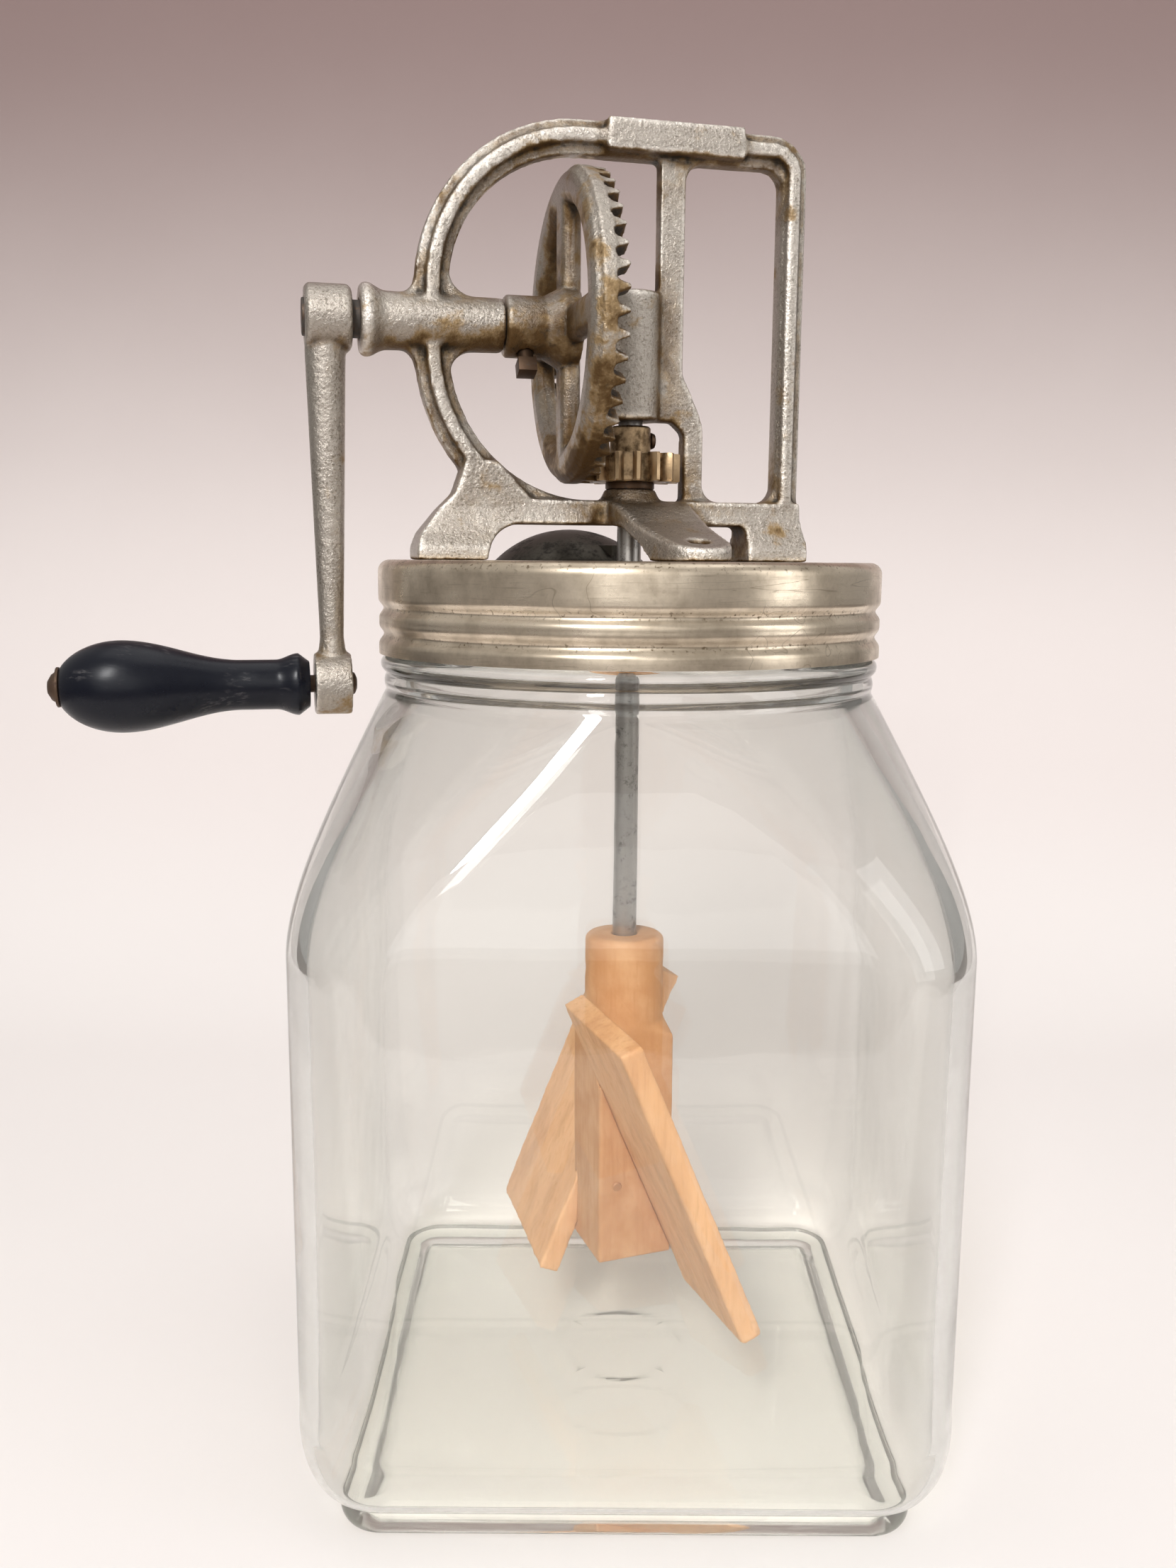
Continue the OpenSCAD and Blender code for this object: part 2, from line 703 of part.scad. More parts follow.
module crank_arm() {
    hub_half = crank_hub / 2;
    neck_z = eye_z + eye_diameter * 0.75;
    color([0.68, 0.66, 0.62]) on_lid() difference() {
        union() {
            along_crank() translate([0, 0, crank_hub_x - crank_hub_length])
                rotate_extrude() polygon([
                    [0, 0], [hub_half - 1, 0], [hub_half, 1], [hub_half, crank_hub_length - 1],
                    [hub_half - 1, crank_hub_length], [0, crank_hub_length]
                ]);
            translate([eye_x + eye_length / 2, 0, neck_z])
                cylinder(h = axis_z - neck_z, d1 = arm_bottom, d2 = arm_top);
            translate([eye_x + eye_length / 2, 0, eye_z])
                cylinder(h = neck_z - eye_z, d1 = eye_length - 0.1, d2 = arm_bottom);
            along_crank(eye_z) translate([0, 0, eye_x]) cylinder(h = eye_length, d = eye_diameter);
        }
        along_crank() translate([0, 0, crank_hub_x - crank_hub_length - cut])
            cylinder(h = crank_hub_length + 2 * cut, r = crank_radius + fit_gap);
        along_crank(eye_z) translate([0, 0, eye_x - cut])
            cylinder(h = eye_length + 2 * cut, r = pin_radius + fit_gap);
    }
}

// One tooth of the crown wheel, from its root to its tip, at the wheel's lowest point
module crown_tooth() {
    half = tooth_share * circular_pitch / 2;
    slope = tan(pressure_angle);
    rotate([90, 0, 90]) translate([0, 0, wheel_mean - tooth_length / 2])
        linear_extrude(tooth_length - tooth_inset) polygon([
            [-half - slope * dedendum, tooth_root_x - 0.4], [half + slope * dedendum, tooth_root_x - 0.4],
            [half + slope * dedendum, tooth_root_x], [half - slope * addendum, tooth_tip_x],
            [-half + slope * addendum, tooth_tip_x], [-half - slope * dedendum, tooth_root_x]
        ]);
}

module drive_gear() {
    rim_in = wheel_radius - rim_width;
    spoke_thickness = rim_thickness - 0.4;
    color([0.66, 0.63, 0.58]) on_lid() difference() {
        union() {
            along_crank() {
                rotate_extrude($fn = 96) polygon([
                    [rim_in, tooth_root_x], [rim_in, rim_left_x + 2.2], [rim_in + 0.9, rim_left_x + 0.8],
                    [rim_in + 2.6, rim_left_x], [wheel_radius - 3.4, rim_left_x],
                    [wheel_radius - 1.6, rim_left_x + 0.8], [wheel_radius - 0.7, rim_left_x + 2.1],
                    [wheel_radius, rim_left_x + 2.5], [wheel_radius, tooth_root_x]
                ]);
                translate([0, 0, wheel_hub_x]) rotate_extrude() polygon([
                    [0, 0], [wheel_hub / 2 - 0.6, 0], [wheel_hub / 2, 0.6],
                    [wheel_hub / 2, wheel_hub_length - 4], [wheel_hub / 2 + 2.4, wheel_hub_length + 0.5],
                    [wheel_hub / 2 + 2.4, wheel_right_x - wheel_hub_x], [0, wheel_right_x - wheel_hub_x]
                ]);
                for (turn = [0, 90]) rotate([0, 0, turn])
                    translate([0, -spoke_width / 2, rim_left_x + 0.2]) rotate([90, 0, 90])
                        linear_extrude(2 * rim_in + 4, center = true)
                            round_box([spoke_width, spoke_thickness], spoke_thickness * 0.45);
                for (i = [0:wheel_teeth - 1]) rotate([0, 0, 360 * i / wheel_teeth]) crown_tooth();
            }
        }
        along_crank() translate([0, 0, wheel_hub_x - cut])
            cylinder(h = wheel_right_x - wheel_hub_x + 2 * cut, r = crank_radius + fit_gap);
        gear_screw_place() cylinder(h = wheel_hub, r = gear_screw_radius + fit_gap);
    }
}

// The place of the wheel's set screw, pointing out of the hub, down and to the front
module gear_screw_place() {
    translate([wheel_hub_x + wheel_hub_length * 0.36, 0, axis_z])
        rotate([180 - 22, 0, 0]) translate([0, 0, crank_radius + 0.1]) children();
}

module gear_set_screw() {
    neck = wheel_hub / 2 - crank_radius + 1.8;
    color([0.40, 0.34, 0.28]) on_lid() gear_screw_place() {
        cylinder(h = neck, r = gear_screw_radius);
        translate([-gear_screw_head[0] / 2, -gear_screw_head[1] / 2, neck - 0.1]) cube(gear_screw_head);
    }
}

// A pin with its domed head at each end, on the handle's axis
module handle_pin() {
    end = eye_x + eye_length;
    color([0.40, 0.30, 0.24]) on_lid() along_crank(eye_z) rotate_extrude() polygon([
        [0, cap_x - 2.2], [0.4 * head_radius, cap_x - 2], [0.8 * head_radius, cap_x - 1.1],
        [head_radius, cap_x], [pin_radius, cap_x], [pin_radius, end], [riveted_radius, end],
        [0.85 * riveted_radius, end + 0.9], [0.45 * riveted_radius, end + 1.4], [0, end + 1.5]
    ]);
}

module handle_washer() {
    color([0.38, 0.28, 0.22]) on_lid() along_crank(eye_z)
        translate([0, 0, cap_x]) difference() {
            cylinder(h = washer_cap, r = washer_radius);
            translate([0, 0, -cut]) cylinder(h = washer_cap + 2 * cut, r = pin_radius + fit_gap);
        }
}

// Radius of the turned grip along its length, from its outer end, 0, to its inner end, 1
function grip_swell(t) =
    t < 0.24 ? grip_diameter / 2 * sqrt(max(0, 1 - pow((0.24 - t) / 0.265, 2)))
    : t < 0.72 ? blend(grip_diameter, grip_waist, (1 - cos(180 * (t - 0.24) / 0.48)) / 2) / 2
    : t < 0.86 ? grip_waist / 2
    : t < 0.955 ? blend(grip_waist, grip_flare, (1 - cos(180 * (t - 0.86) / 0.095)) / 2) / 2
    : blend(grip_flare, grip_waist - 1, (t - 0.955) / 0.045) / 2;

module handle_grip() {
    steps = 40;
    bore = pin_radius + run_clearance;
    color([0.05, 0.05, 0.08]) on_lid() along_crank(eye_z) translate([0, 0, grip_x - grip_length])
        rotate_extrude() polygon(concat(
            [[bore, 0]],
            [for (i = [0:steps]) [grip_swell(i / steps), grip_length * i / steps]],
            [[bore, grip_length]]
        ));
}

module dasher_shaft() {
    color([0.52, 0.51, 0.49]) difference() {
        translate([0, 0, shaft_low]) cylinder(h = shaft_high - shaft_low, r = shaft_radius);
        post_pin_place() cylinder(h = post_side, r = post_pin_radius + fit_gap, center = true);
    }
}

// Half the angle that a pinion tooth fills at a radius, on an involute flank
function involute(angle) = tan(angle) * 180 / PI - angle;
function tooth_angle(radius) =
    let (base = pinion_pitch * cos(pressure_angle),
         slant = radius > base ? acos(base / radius) : 0)
    tooth_share * 90 / pinion_teeth * 2 + involute(pressure_angle) - involute(slant);

module pinion_gear() {
    root = pinion_pitch - dedendum;
    tip = pinion_pitch + pinion_addendum;
    radii = [root, blend(root, tip, 0.3), blend(root, tip, 0.5), blend(root, tip, 0.75), tip];
    outline = [
        for (k = [0:pinion_teeth - 1])
            let (middle = 180 + 360 * (k + 0.5) / pinion_teeth)
            each concat(
                [for (r = radii) let (a = middle - tooth_angle(r)) [r * cos(a), r * sin(a)]],
                [for (i = [len(radii) - 1:-1:0])
                    let (r = radii[i], a = middle + tooth_angle(r)) [r * cos(a), r * sin(a)]]
            )
    ];
    color([0.62, 0.47, 0.26]) on_lid() difference() {
        union() {
            translate([0, 0, pinion_z]) linear_extrude(pinion_face) polygon(outline);
            translate([0, 0, pinion_hub_z - cut])
                cylinder(h = pinion_hub_height + cut, d = pinion_hub);
        }
        translate([0, 0, pinion_z - cut])
            cylinder(h = pinion_face + pinion_hub_height + 2 * cut, r = shaft_radius + fit_gap);
        pinion_screw_place() cylinder(h = pinion_hub, r = pinion_screw_radius + fit_gap);
    }
}

module pinion_screw_place() {
    translate([0, 0, pinion_hub_z + pinion_hub_height / 2])
        rotate([0, 90, 0]) translate([0, 0, shaft_radius + 0.1]) children();
}

module pinion_set_screw() {
    length = pinion_hub / 2 - shaft_radius;
    color([0.40, 0.34, 0.28]) on_lid() pinion_screw_place() {
        cylinder(h = length, r = pinion_screw_radius);
        translate([0, 0, length - 0.1])
            cylinder(h = 1.2, r1 = 1.5 * pinion_screw_radius, r2 = 1.2 * pinion_screw_radius);
    }
}

module thrust_washer() {
    color([0.18, 0.16, 0.14]) on_lid() translate([0, 0, washer_z]) difference() {
        cylinder(h = washer_thickness, r = seat_radius - 0.2);
        translate([0, 0, -cut]) cylinder(h = washer_thickness + 2 * cut, r = shaft_radius + fit_gap);
    }
}

// The middle of a paddle: the front one is 0 and the back one is 1
module paddle_place(side) {
    rotate([0, 0, dasher_turn + 180 * side]) translate([0, 0, paddle_z])
        rotate([0, -paddle_pitch, 0]) children();
}

// A slanting plate that stands out from the post, from an inner to an outer distance
module paddle_plate(thickness, inner, outer, up, down, rise) {
    rotate([90, 0, 90]) linear_extrude(thickness, center = true)
        polygon([[-inner, up], [-outer, up], [-outer, rise - down], [-inner, -down]]);
}

module dasher_post() {
    corner = post_half * 1.5;
    round_z = post_top - post_round;
    color([0.80, 0.50, 0.26]) difference() {
        intersection() {
            rotate([0, 0, dasher_turn]) translate([-post_half, -post_half, post_low])
                cube([post_side, post_side, post_length]);
            rotate_extrude() polygon([
                [0, post_low], [corner, post_low], [corner, round_z - post_shoulder],
                [post_half, round_z], [post_half, post_top - 1], [post_half - 1, post_top], [0, post_top]
            ]);
        }
        translate([0, 0, shaft_low]) cylinder(h = shaft_depth + cut, r = shaft_radius + fit_gap);
        for (side = [0, 1]) paddle_place(side)
            paddle_plate(paddle_thickness + 2 * fit_gap, paddle_inner - fit_gap, post_half + 2 * cut,
                         paddle_up + fit_gap, paddle_down + fit_gap, 0);
        post_pin_place() cylinder(h = 2 * post_side, r = post_pin_radius + fit_gap, center = true);
        nail_group(fit_gap);
    }
}

module post_pin_place() {
    translate([0, 0, post_pin_z]) rotate([0, 90, dasher_turn + post_pin_bearing]) children();
}

module post_pin() {
    color([0.45, 0.43, 0.40]) post_pin_place()
        cylinder(h = post_side - 0.6, r = post_pin_radius, center = true);
}

module paddle(side) {
    color([0.86, 0.58, 0.36]) difference() {
        paddle_place(side)
            paddle_plate(paddle_thickness, paddle_inner, paddle_reach, paddle_up, paddle_down, paddle_rise);
        nail_group(fit_gap);
    }
}

module front_paddle() { paddle(0); }
module back_paddle() { paddle(1); }

// Nails through the post into the paddles' inner edges, from the post's opposite face
module nail_group(room) {
    for (side = [0, 1], spot = nail_spots)
        paddle_place(side) translate([0, post_half, spot]) rotate([90, 0, 0]) {
            translate([0, 0, -nail_head_height]) cylinder(h = nail_head_height, r = nail_head);
            cylinder(h = nail_length + room, r = nail_radius + room);
        }
}

module paddle_nails() {
    color([0.50, 0.46, 0.42]) nail_group(0);
}

glass_jar();
lid_gasket();
screw_lid();
vent_cap();
gear_frame();
frame_screws();
crank_shaft();
crank_arm();
drive_gear();
gear_set_screw();
handle_pin();
handle_washer();
handle_grip();
dasher_shaft();
pinion_gear();
pinion_set_screw();
thrust_washer();
dasher_post();
post_pin();
front_paddle();
back_paddle();
paddle_nails();
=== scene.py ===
"""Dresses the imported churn: a glass jar with a lid, a cast gear frame, a crank and a wooden dasher."""

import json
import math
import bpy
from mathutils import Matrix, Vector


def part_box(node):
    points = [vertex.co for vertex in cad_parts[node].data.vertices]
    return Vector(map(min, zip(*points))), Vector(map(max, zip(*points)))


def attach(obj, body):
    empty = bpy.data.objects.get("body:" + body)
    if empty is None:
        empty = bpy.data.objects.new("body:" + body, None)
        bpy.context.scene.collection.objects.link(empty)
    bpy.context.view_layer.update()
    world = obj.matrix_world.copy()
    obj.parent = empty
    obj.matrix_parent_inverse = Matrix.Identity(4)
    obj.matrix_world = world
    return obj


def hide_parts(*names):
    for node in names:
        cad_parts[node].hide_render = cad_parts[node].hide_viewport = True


bl_info = {
    "name": "Glass Churn",
    "version": (1, 0, 0),
    "blender": (4, 5, 0),
    "location": "View3D > Sidebar > Churn",
    "description": "Builds the looks of a hand cranked glass churn around its packed solids",
    "category": "Object",
}

import bmesh
import bpy
import numpy as np
from bpy.props import FloatProperty, FloatVectorProperty, IntProperty, PointerProperty
from mathutils import Matrix, Vector

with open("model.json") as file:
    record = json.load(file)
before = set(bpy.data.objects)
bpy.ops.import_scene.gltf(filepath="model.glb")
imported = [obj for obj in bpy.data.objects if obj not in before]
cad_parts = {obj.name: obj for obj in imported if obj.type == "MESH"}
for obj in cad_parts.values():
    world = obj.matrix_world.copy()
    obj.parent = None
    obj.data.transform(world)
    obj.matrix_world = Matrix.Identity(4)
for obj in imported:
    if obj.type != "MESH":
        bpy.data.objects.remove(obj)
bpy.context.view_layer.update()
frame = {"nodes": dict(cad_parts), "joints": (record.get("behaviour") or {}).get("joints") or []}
JOINTS = {joint["name"]: joint for joint in frame["joints"]}
MM = 0.001
ON_AXIS = 1e-9
MERGE = 1e-7
CAD_MERGE = 1e-6
FLAT_ANGLE = math.radians(0.4)
BEVEL_ANGLE = math.radians(38)
SHARP_ANGLE = math.radians(42)


def node_size(node):
    """Width, depth and height of a CAD node."""
    low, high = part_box(node)
    return high - low


def length(default, name, description):
    """A size property in metres."""
    return FloatProperty(name=name, description=description, default=default, unit="LENGTH", precision=5)


def tint(default, name, description):
    """A colour property."""
    return FloatVectorProperty(name=name, description=description, default=(*default, 1.0), subtype="COLOR",
                               size=4, min=0.0, max=1.0)


def share(default, name, description):
    """A plain number from 0 up."""
    return FloatProperty(name=name, description=description, default=default, min=0.0)


class JarSizes(bpy.types.PropertyGroup):
    """Sizes of the glass jar."""
    body_width: length(node_size("glass_jar").x, "Body width", "Across the flats of the square body")
    foot_width: length(141 * MM, "Foot width", "Across the flats of the foot")
    foot_corner: length(11 * MM, "Foot corner", "Upright corners of the foot")
    foot_height: length(6 * MM, "Foot height", "Upright edge of the foot")
    heel_height: length(28 * MM, "Heel height", "Where the heel curve meets the sides")
    side_top: length(142 * MM, "Side top", "Where the sides end and the shoulder begins")
    neck_base: length(200 * MM, "Neck base", "Where the shoulder meets the round neck")
    corner_radius: length(28 * MM, "Corner radius", "Upright corners of the body")
    wall: length(5 * MM, "Wall", "Thickness of the glass wall")
    floor: length(10 * MM, "Floor", "Thickness of the glass floor")
    floor_bend: length(13 * MM, "Floor bend", "Height of the bend from the floor to the inside of the wall")
    neck_radius: length(62.6 * MM, "Neck radius", "Round neck under the lid")
    bead_out: length(2.7 * MM, "Bead", "How far the bead stands out from the neck")
    ring_out: length(1.4 * MM, "Neck ring", "How far the ring under the bead stands out from the neck")
    rim_height: length(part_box("glass_jar")[1].z, "Rim height", "Top of the glass")
    thread_out: length(1.2 * MM, "Thread", "How far the thread stands out")
    thread_pitch: length(6.5 * MM, "Thread pitch", "Rise of the thread in one turn")
    thread_drop: length(17 * MM, "Thread start", "How far below the rim the thread starts")
    thread_half: length(1.5 * MM, "Thread half width", "Half the width of the thread")
    foot_edge: length(2.2 * MM, "Foot edge", "Rounding of the foot's edges")
    rim_round: length(1.4 * MM, "Rim round", "Rounding of the rim's edges")
    inner_drop: length(2 * MM, "Inner drop", "How much lower the shoulder lies on the inside")
    mark_radius: length(17 * MM, "Mould mark", "Radius of the round mould mark under the floor")


class LidSizes(bpy.types.PropertyGroup):
    """Sizes of the screw lid."""
    radius: length(node_size("screw_lid").x / 2, "Radius", "Outside radius of the lid")
    sheet: length(0.7 * MM, "Sheet", "Thickness of the metal")
    edge: length(3.0 * MM, "Edge", "Radius of the rolled top edge")
    groove: length(1.3 * MM, "Groove", "Depth of the rolled grooves")
    shaft_hole: length(3.8 * MM, "Shaft hole", "Radius of the hole for the dasher shaft")
    vent_hole: length(12.6 * MM, "Vent hole", "Radius of the hole under the vent cap")


class HandleSizes(bpy.types.PropertyGroup):
    """Sizes of the turned handle."""
    swell: length(22.6 * MM, "Swell", "Largest diameter")
    waist: length(12.5 * MM, "Waist", "Smallest diameter")
    flare: length(15.6 * MM, "Flare", "Diameter of the flare at the inner end")
    bore: length(2.26 * MM, "Bore", "Radius of the hole for the pin")
    length: length(59.2 * MM, "Length", "Length of the grip")


class PinionSizes(bpy.types.PropertyGroup):
    """Sizes of the pinion."""
    teeth: IntProperty(name="Teeth", description="Teeth on the pinion", default=15, min=8)
    module: length(1.59 * MM, "Module", "Pitch diameter for each tooth")
    face: length(7.2 * MM, "Face", "Height of the teeth")
    hub: length(5.3 * MM, "Hub", "Radius of the hub")
    bore: length(3.195 * MM, "Bore", "Radius of the bore")


class CastingLook(bpy.types.PropertyGroup):
    """Colours of the painted castings."""
    silver: tint((0.44, 0.395, 0.345), "Silver", "Aluminium paint")
    # Bright: the crests' colour, partly paint worn by hands and partly a painted highlight.
    bright: tint((0.82, 0.76, 0.69), "Bright", "Paint polished by hands on the edges")
    glaze: tint((0.33, 0.215, 0.09), "Glaze", "Thin golden film of old grease")
    # Patina: real brown grease, also painted as shade in corners and on undersides.
    patina: tint((0.105, 0.055, 0.016), "Patina", "Brown varnish of old grease")
    pepper: tint((0.14, 0.115, 0.085), "Pepper", "Dark grains in the paint")
    # Near-black colour: painted shade in the deepest corners, creases and on undersides, and dirt in random
    # pits.
    soot_and_shade: tint((0.030, 0.022, 0.014), "Soot", "Dirt in the deepest corners")
    grain: length(0.65 * MM, "Grain", "Size of the sand texture")
    blotch: length(12 * MM, "Blotch", "Size of the brown blotches")
    # Reach of the ambient occlusion that paints shade and brown stain out of the corners.
    corner: length(18 * MM, "Corner", "How far the varnish reaches out of a corner")


class MetalLook(bpy.types.PropertyGroup):
    """Colours of the bare metals and of the gasket."""
    lid: tint((0.74, 0.635, 0.50), "Lid", "Worn plating of the lid")
    lid_dark: tint((0.13, 0.092, 0.052), "Lid stain", "Stains and scratches on the lid")
    brass: tint((0.48, 0.34, 0.20), "Brass", "Tarnished pinion")
    brass_dark: tint((0.10, 0.062, 0.030), "Brass dirt", "Grease between the pinion's teeth")
    steel: tint((0.36, 0.34, 0.32), "Steel", "Turned dasher shaft and its pin")
    steel_dark: tint((0.07, 0.06, 0.052), "Steel stain", "Stains on the shafts and screws")
    # Rust: also the crank shaft's colour, where it is partly painted shade in the gap between the crank's hub
    # and its bearing.
    rust: tint((0.10, 0.062, 0.040), "Rust", "Browned screws, rivet and crank shaft")
    rust_dark: tint((0.06, 0.03, 0.018), "Rust stain", "Stains on the rivet")
    nail: tint((0.46, 0.22, 0.09), "Nails", "Nails stained by the oiled wood")
    # Vent: very dark tin, its darkness partly painted shade from the frame above the cap.
    vent: tint((0.075, 0.068, 0.055), "Vent", "Dark tin of the vent cap")
    vent_dark: tint((0.022, 0.018, 0.012), "Vent stain", "Stains on the vent cap")
    rubber: tint((0.10, 0.075, 0.055), "Rubber", "Aged rubber of the gasket")
    rubber_dark: tint((0.05, 0.04, 0.032), "Rubber stain", "Stains on the gasket")


class GlassLook(bpy.types.PropertyGroup):
    """The jar's glass."""
    tone: tint((0.98, 0.978, 0.965), "Tone", "Colour of light through the glass")
    shade: tint((0.92, 0.91, 0.89), "Shade", "Colour of the light that each skin of glass lets through")
    depth_tone: tint((0.36, 0.47, 0.40), "Depth", "Colour that long ways through the glass take on")
    absorption: share(11.0, "Absorption", "How fast long ways through the glass take on colour, per metre")
    ripple: length(22 * MM, "Ripple", "Size of the waves in the pressed glass")
    ior: share(1.5, "IOR", "Index of refraction")
    haze: share(0.09, "Haze", "Share of the light that goes straight through the uneven glass")


class WoodLook(bpy.types.PropertyGroup):
    """The dasher's wood and the handle's lacquer."""
    post: tint((0.52, 0.245, 0.092), "Post", "Wood of the post")
    paddle: tint((0.76, 0.41, 0.19), "Paddle", "Wood of the paddles")
    pale: tint((0.90, 0.60, 0.36), "Pale wood", "Lighter clouds in the wood")
    late: tint((0.47, 0.20, 0.07), "Late wood", "Darker lines of the grain")
    fibre: length(1.1 * MM, "Fibre", "Width of a line of grain")
    lacquer: tint((0.003, 0.004, 0.009), "Lacquer", "Black lacquer of the handle")
    worn: tint((0.12, 0.112, 0.115), "Worn lacquer", "Lacquer rubbed dull")


class StageLook(bpy.types.PropertyGroup):
    """Paper sweep, lights and camera."""
    # Floor, low wall and high wall paint the fall of light on one pale paper: lighter on the floor, darker
    # high on the wall.
    floor: tint((0.90, 0.86, 0.84), "Floor", "Paper under the churn")
    low_wall: tint((0.85, 0.785, 0.765), "Low wall", "Paper behind the jar")
    high_wall: tint((0.31, 0.225, 0.215), "High wall", "Paper above the frame")
    table: tint((0.27, 0.25, 0.235), "Table", "Table round the paper")
    room: tint((1.0, 0.965, 0.93), "Room", "Colour of the room's light")
    wall_y: length(0.55, "Wall", "Distance of the paper behind the churn")
    key_power: share(8.8, "Key", "Power of the tall light above and left of the camera, in watts")
    top_power: share(3.8, "Top", "Power of the overhead light, in watts")
    front_power: share(4.6, "Front", "Power of the wide light behind the camera, in watts")
    side_power: share(2.8, "Side", "Power of the light from the right, in watts")
    horizon: share(0.33, "Horizon", "Strength of the room's light from the sides")
    sky: share(0.55, "Sky", "Strength of the room's light from above")
    camera_x: length(-10.36 * MM, "Camera X", "Place of the camera")
    camera_y: length(-361.3 * MM, "Camera Y", "Place of the camera")
    camera_z: length(233.3 * MM, "Camera Z", "Height of the camera")
    pitch: FloatProperty(name="Pitch", description="Tilt of the camera below level", default=0.16501,
                         subtype="ANGLE")
    roll: FloatProperty(name="Roll", description="Turn of the camera about its view", default=0.0074,
                        subtype="ANGLE")
    lens: share(30.92, "Lens", "Focal length on a 36 mm frame")


# Mesh helpers

def add_object(name, mesh):
    """A new object at the origin for a mesh, a light or a camera."""
    piece = bpy.data.objects.new(name, mesh)
    bpy.context.scene.collection.objects.link(piece)
    return piece


def mesh_from(name, points, faces):
    """A smooth mesh with merged doubles and outward normals."""
    mesh = bpy.data.meshes.new(name)
    mesh.from_pydata([tuple(point) for point in points], [], faces)
    made = bmesh.new()
    made.from_mesh(mesh)
    bmesh.ops.remove_doubles(made, verts=made.verts, dist=MERGE)
    bmesh.ops.dissolve_degenerate(made, edges=made.edges, dist=MERGE)
    bmesh.ops.recalc_face_normals(made, faces=made.faces)
    made.to_mesh(mesh)
    made.free()
    mesh.shade_smooth()
    return mesh


def ring_faces(rows, columns, closed_rows):
    """Quads of a grid that closes round its columns, and round its rows if asked."""
    faces = []
    for row in range(rows if closed_rows else rows - 1):
        above = (row + 1) % rows
        for column in range(columns):
            beside = (column + 1) % columns
            faces.append((row * columns + column, row * columns + beside,
                          above * columns + beside, above * columns + column))
    return faces


def lathe(name, profile, segments, place=Matrix.Identity(4)):
    """A closed profile of radius and height, turned about the place's Z axis."""
    points = []
    for radius, height in profile:
        for step in range(segments):
            angle = math.tau * step / segments
            points.append(place @ Vector((radius * math.cos(angle), radius * math.sin(angle), height)))
    return mesh_from(name, points, ring_faces(len(profile), segments, True))


def smooth_path(points, steps):
    """A curve through the points, with this many steps between neighbours."""
    path = []
    ends = [points[0], *points, points[-1]]
    for before, start, end, after in zip(ends, ends[1:], ends[2:], ends[3:]):
        for step in range(steps):
            t = step / steps
            path.append(tuple(
                0.5 * (2 * b + (c - a) * t + (2 * a - 5 * b + 4 * c - d) * t * t
                       + (3 * b - a - 3 * c + d) * t ** 3)
                for a, b, c, d in zip(before, start, end, after)))
    path.append(points[-1])
    return path


def arc(centre, radius, start, end, steps):
    """Points of an arc in radius and height, angles in degrees."""
    angles = [math.radians(start + (end - start) * step / steps) for step in range(steps + 1)]
    return [(centre[0] + radius * math.cos(a), centre[1] + radius * math.sin(a)) for a in angles]


def merged_solids(node):
    """The merged mesh of a CAD node, as a copy to work on."""
    made = bmesh.new()
    made.from_mesh(frame["nodes"][node].data)
    bmesh.ops.remove_doubles(made, verts=made.verts, dist=CAD_MERGE)
    return made


def merged_copy(name, node):
    """A new object with the merged mesh of a CAD node."""
    made = merged_solids(node)
    mesh = bpy.data.meshes.new(name)
    made.to_mesh(mesh)
    made.free()
    stale = mesh.attributes.get("custom_normal")
    if stale:
        mesh.attributes.remove(stale)
    return add_object(name, mesh)


def bake_modifiers(piece):
    """Turns the evaluated object into a plain mesh and drops its modifiers."""
    evaluated = piece.evaluated_get(bpy.context.evaluated_depsgraph_get())
    mesh = bpy.data.meshes.new_from_object(evaluated)
    piece.modifiers.clear()
    piece.data = mesh
    mesh.name = piece.name
    mesh.materials.clear()
    return mesh


def soft_copy(name, node, voxel, rounds):
    """A CAD node with its edges rounded over, as a sand casting or worn wood has them."""
    piece = merged_copy(name, node)
    remesh = piece.modifiers.new("Even mesh", "REMESH")
    remesh.mode = "VOXEL"
    remesh.voxel_size = voxel
    remesh.use_smooth_shade = True
    soften = piece.modifiers.new("Soften", "SMOOTH")
    soften.factor = 0.5
    soften.iterations = rounds
    mesh = bake_modifiers(piece)
    mesh.shade_smooth()
    return piece


def fine_copy(name, node, bevel):
    """A CAD node with small bevels and smooth curved faces, as a turned piece has them."""
    piece = merged_copy(name, node)
    made = bmesh.new()
    made.from_mesh(piece.data)
    bmesh.ops.dissolve_limit(made, angle_limit=FLAT_ANGLE, verts=made.verts, edges=made.edges)
    made.to_mesh(piece.data)
    made.free()
    edges = piece.modifiers.new("Edges", "BEVEL")
    edges.width = bevel
    edges.segments = 2
    edges.limit_method = "ANGLE"
    edges.angle_limit = BEVEL_ANGLE
    mesh = bake_modifiers(piece)
    mesh.shade_smooth()
    mesh.set_sharp_from_angle(angle=SHARP_ANGLE)
    return piece


def smoothed(points, edges, rounds):
    """The points after rounds of moving each one half way to the mean of its neighbours."""
    first, second = edges[:, 0], edges[:, 1]
    count = len(points)
    degree = np.maximum(np.bincount(first, minlength=count) + np.bincount(second, minlength=count), 1)
    moved = points.copy()
    for _ in range(rounds):
        for axis in range(3):
            column = moved[:, axis]
            total = (np.bincount(first, weights=column[second], minlength=count)
                     + np.bincount(second, weights=column[first], minlength=count))
            moved[:, axis] = 0.5 * column + 0.5 * total / degree
    return moved


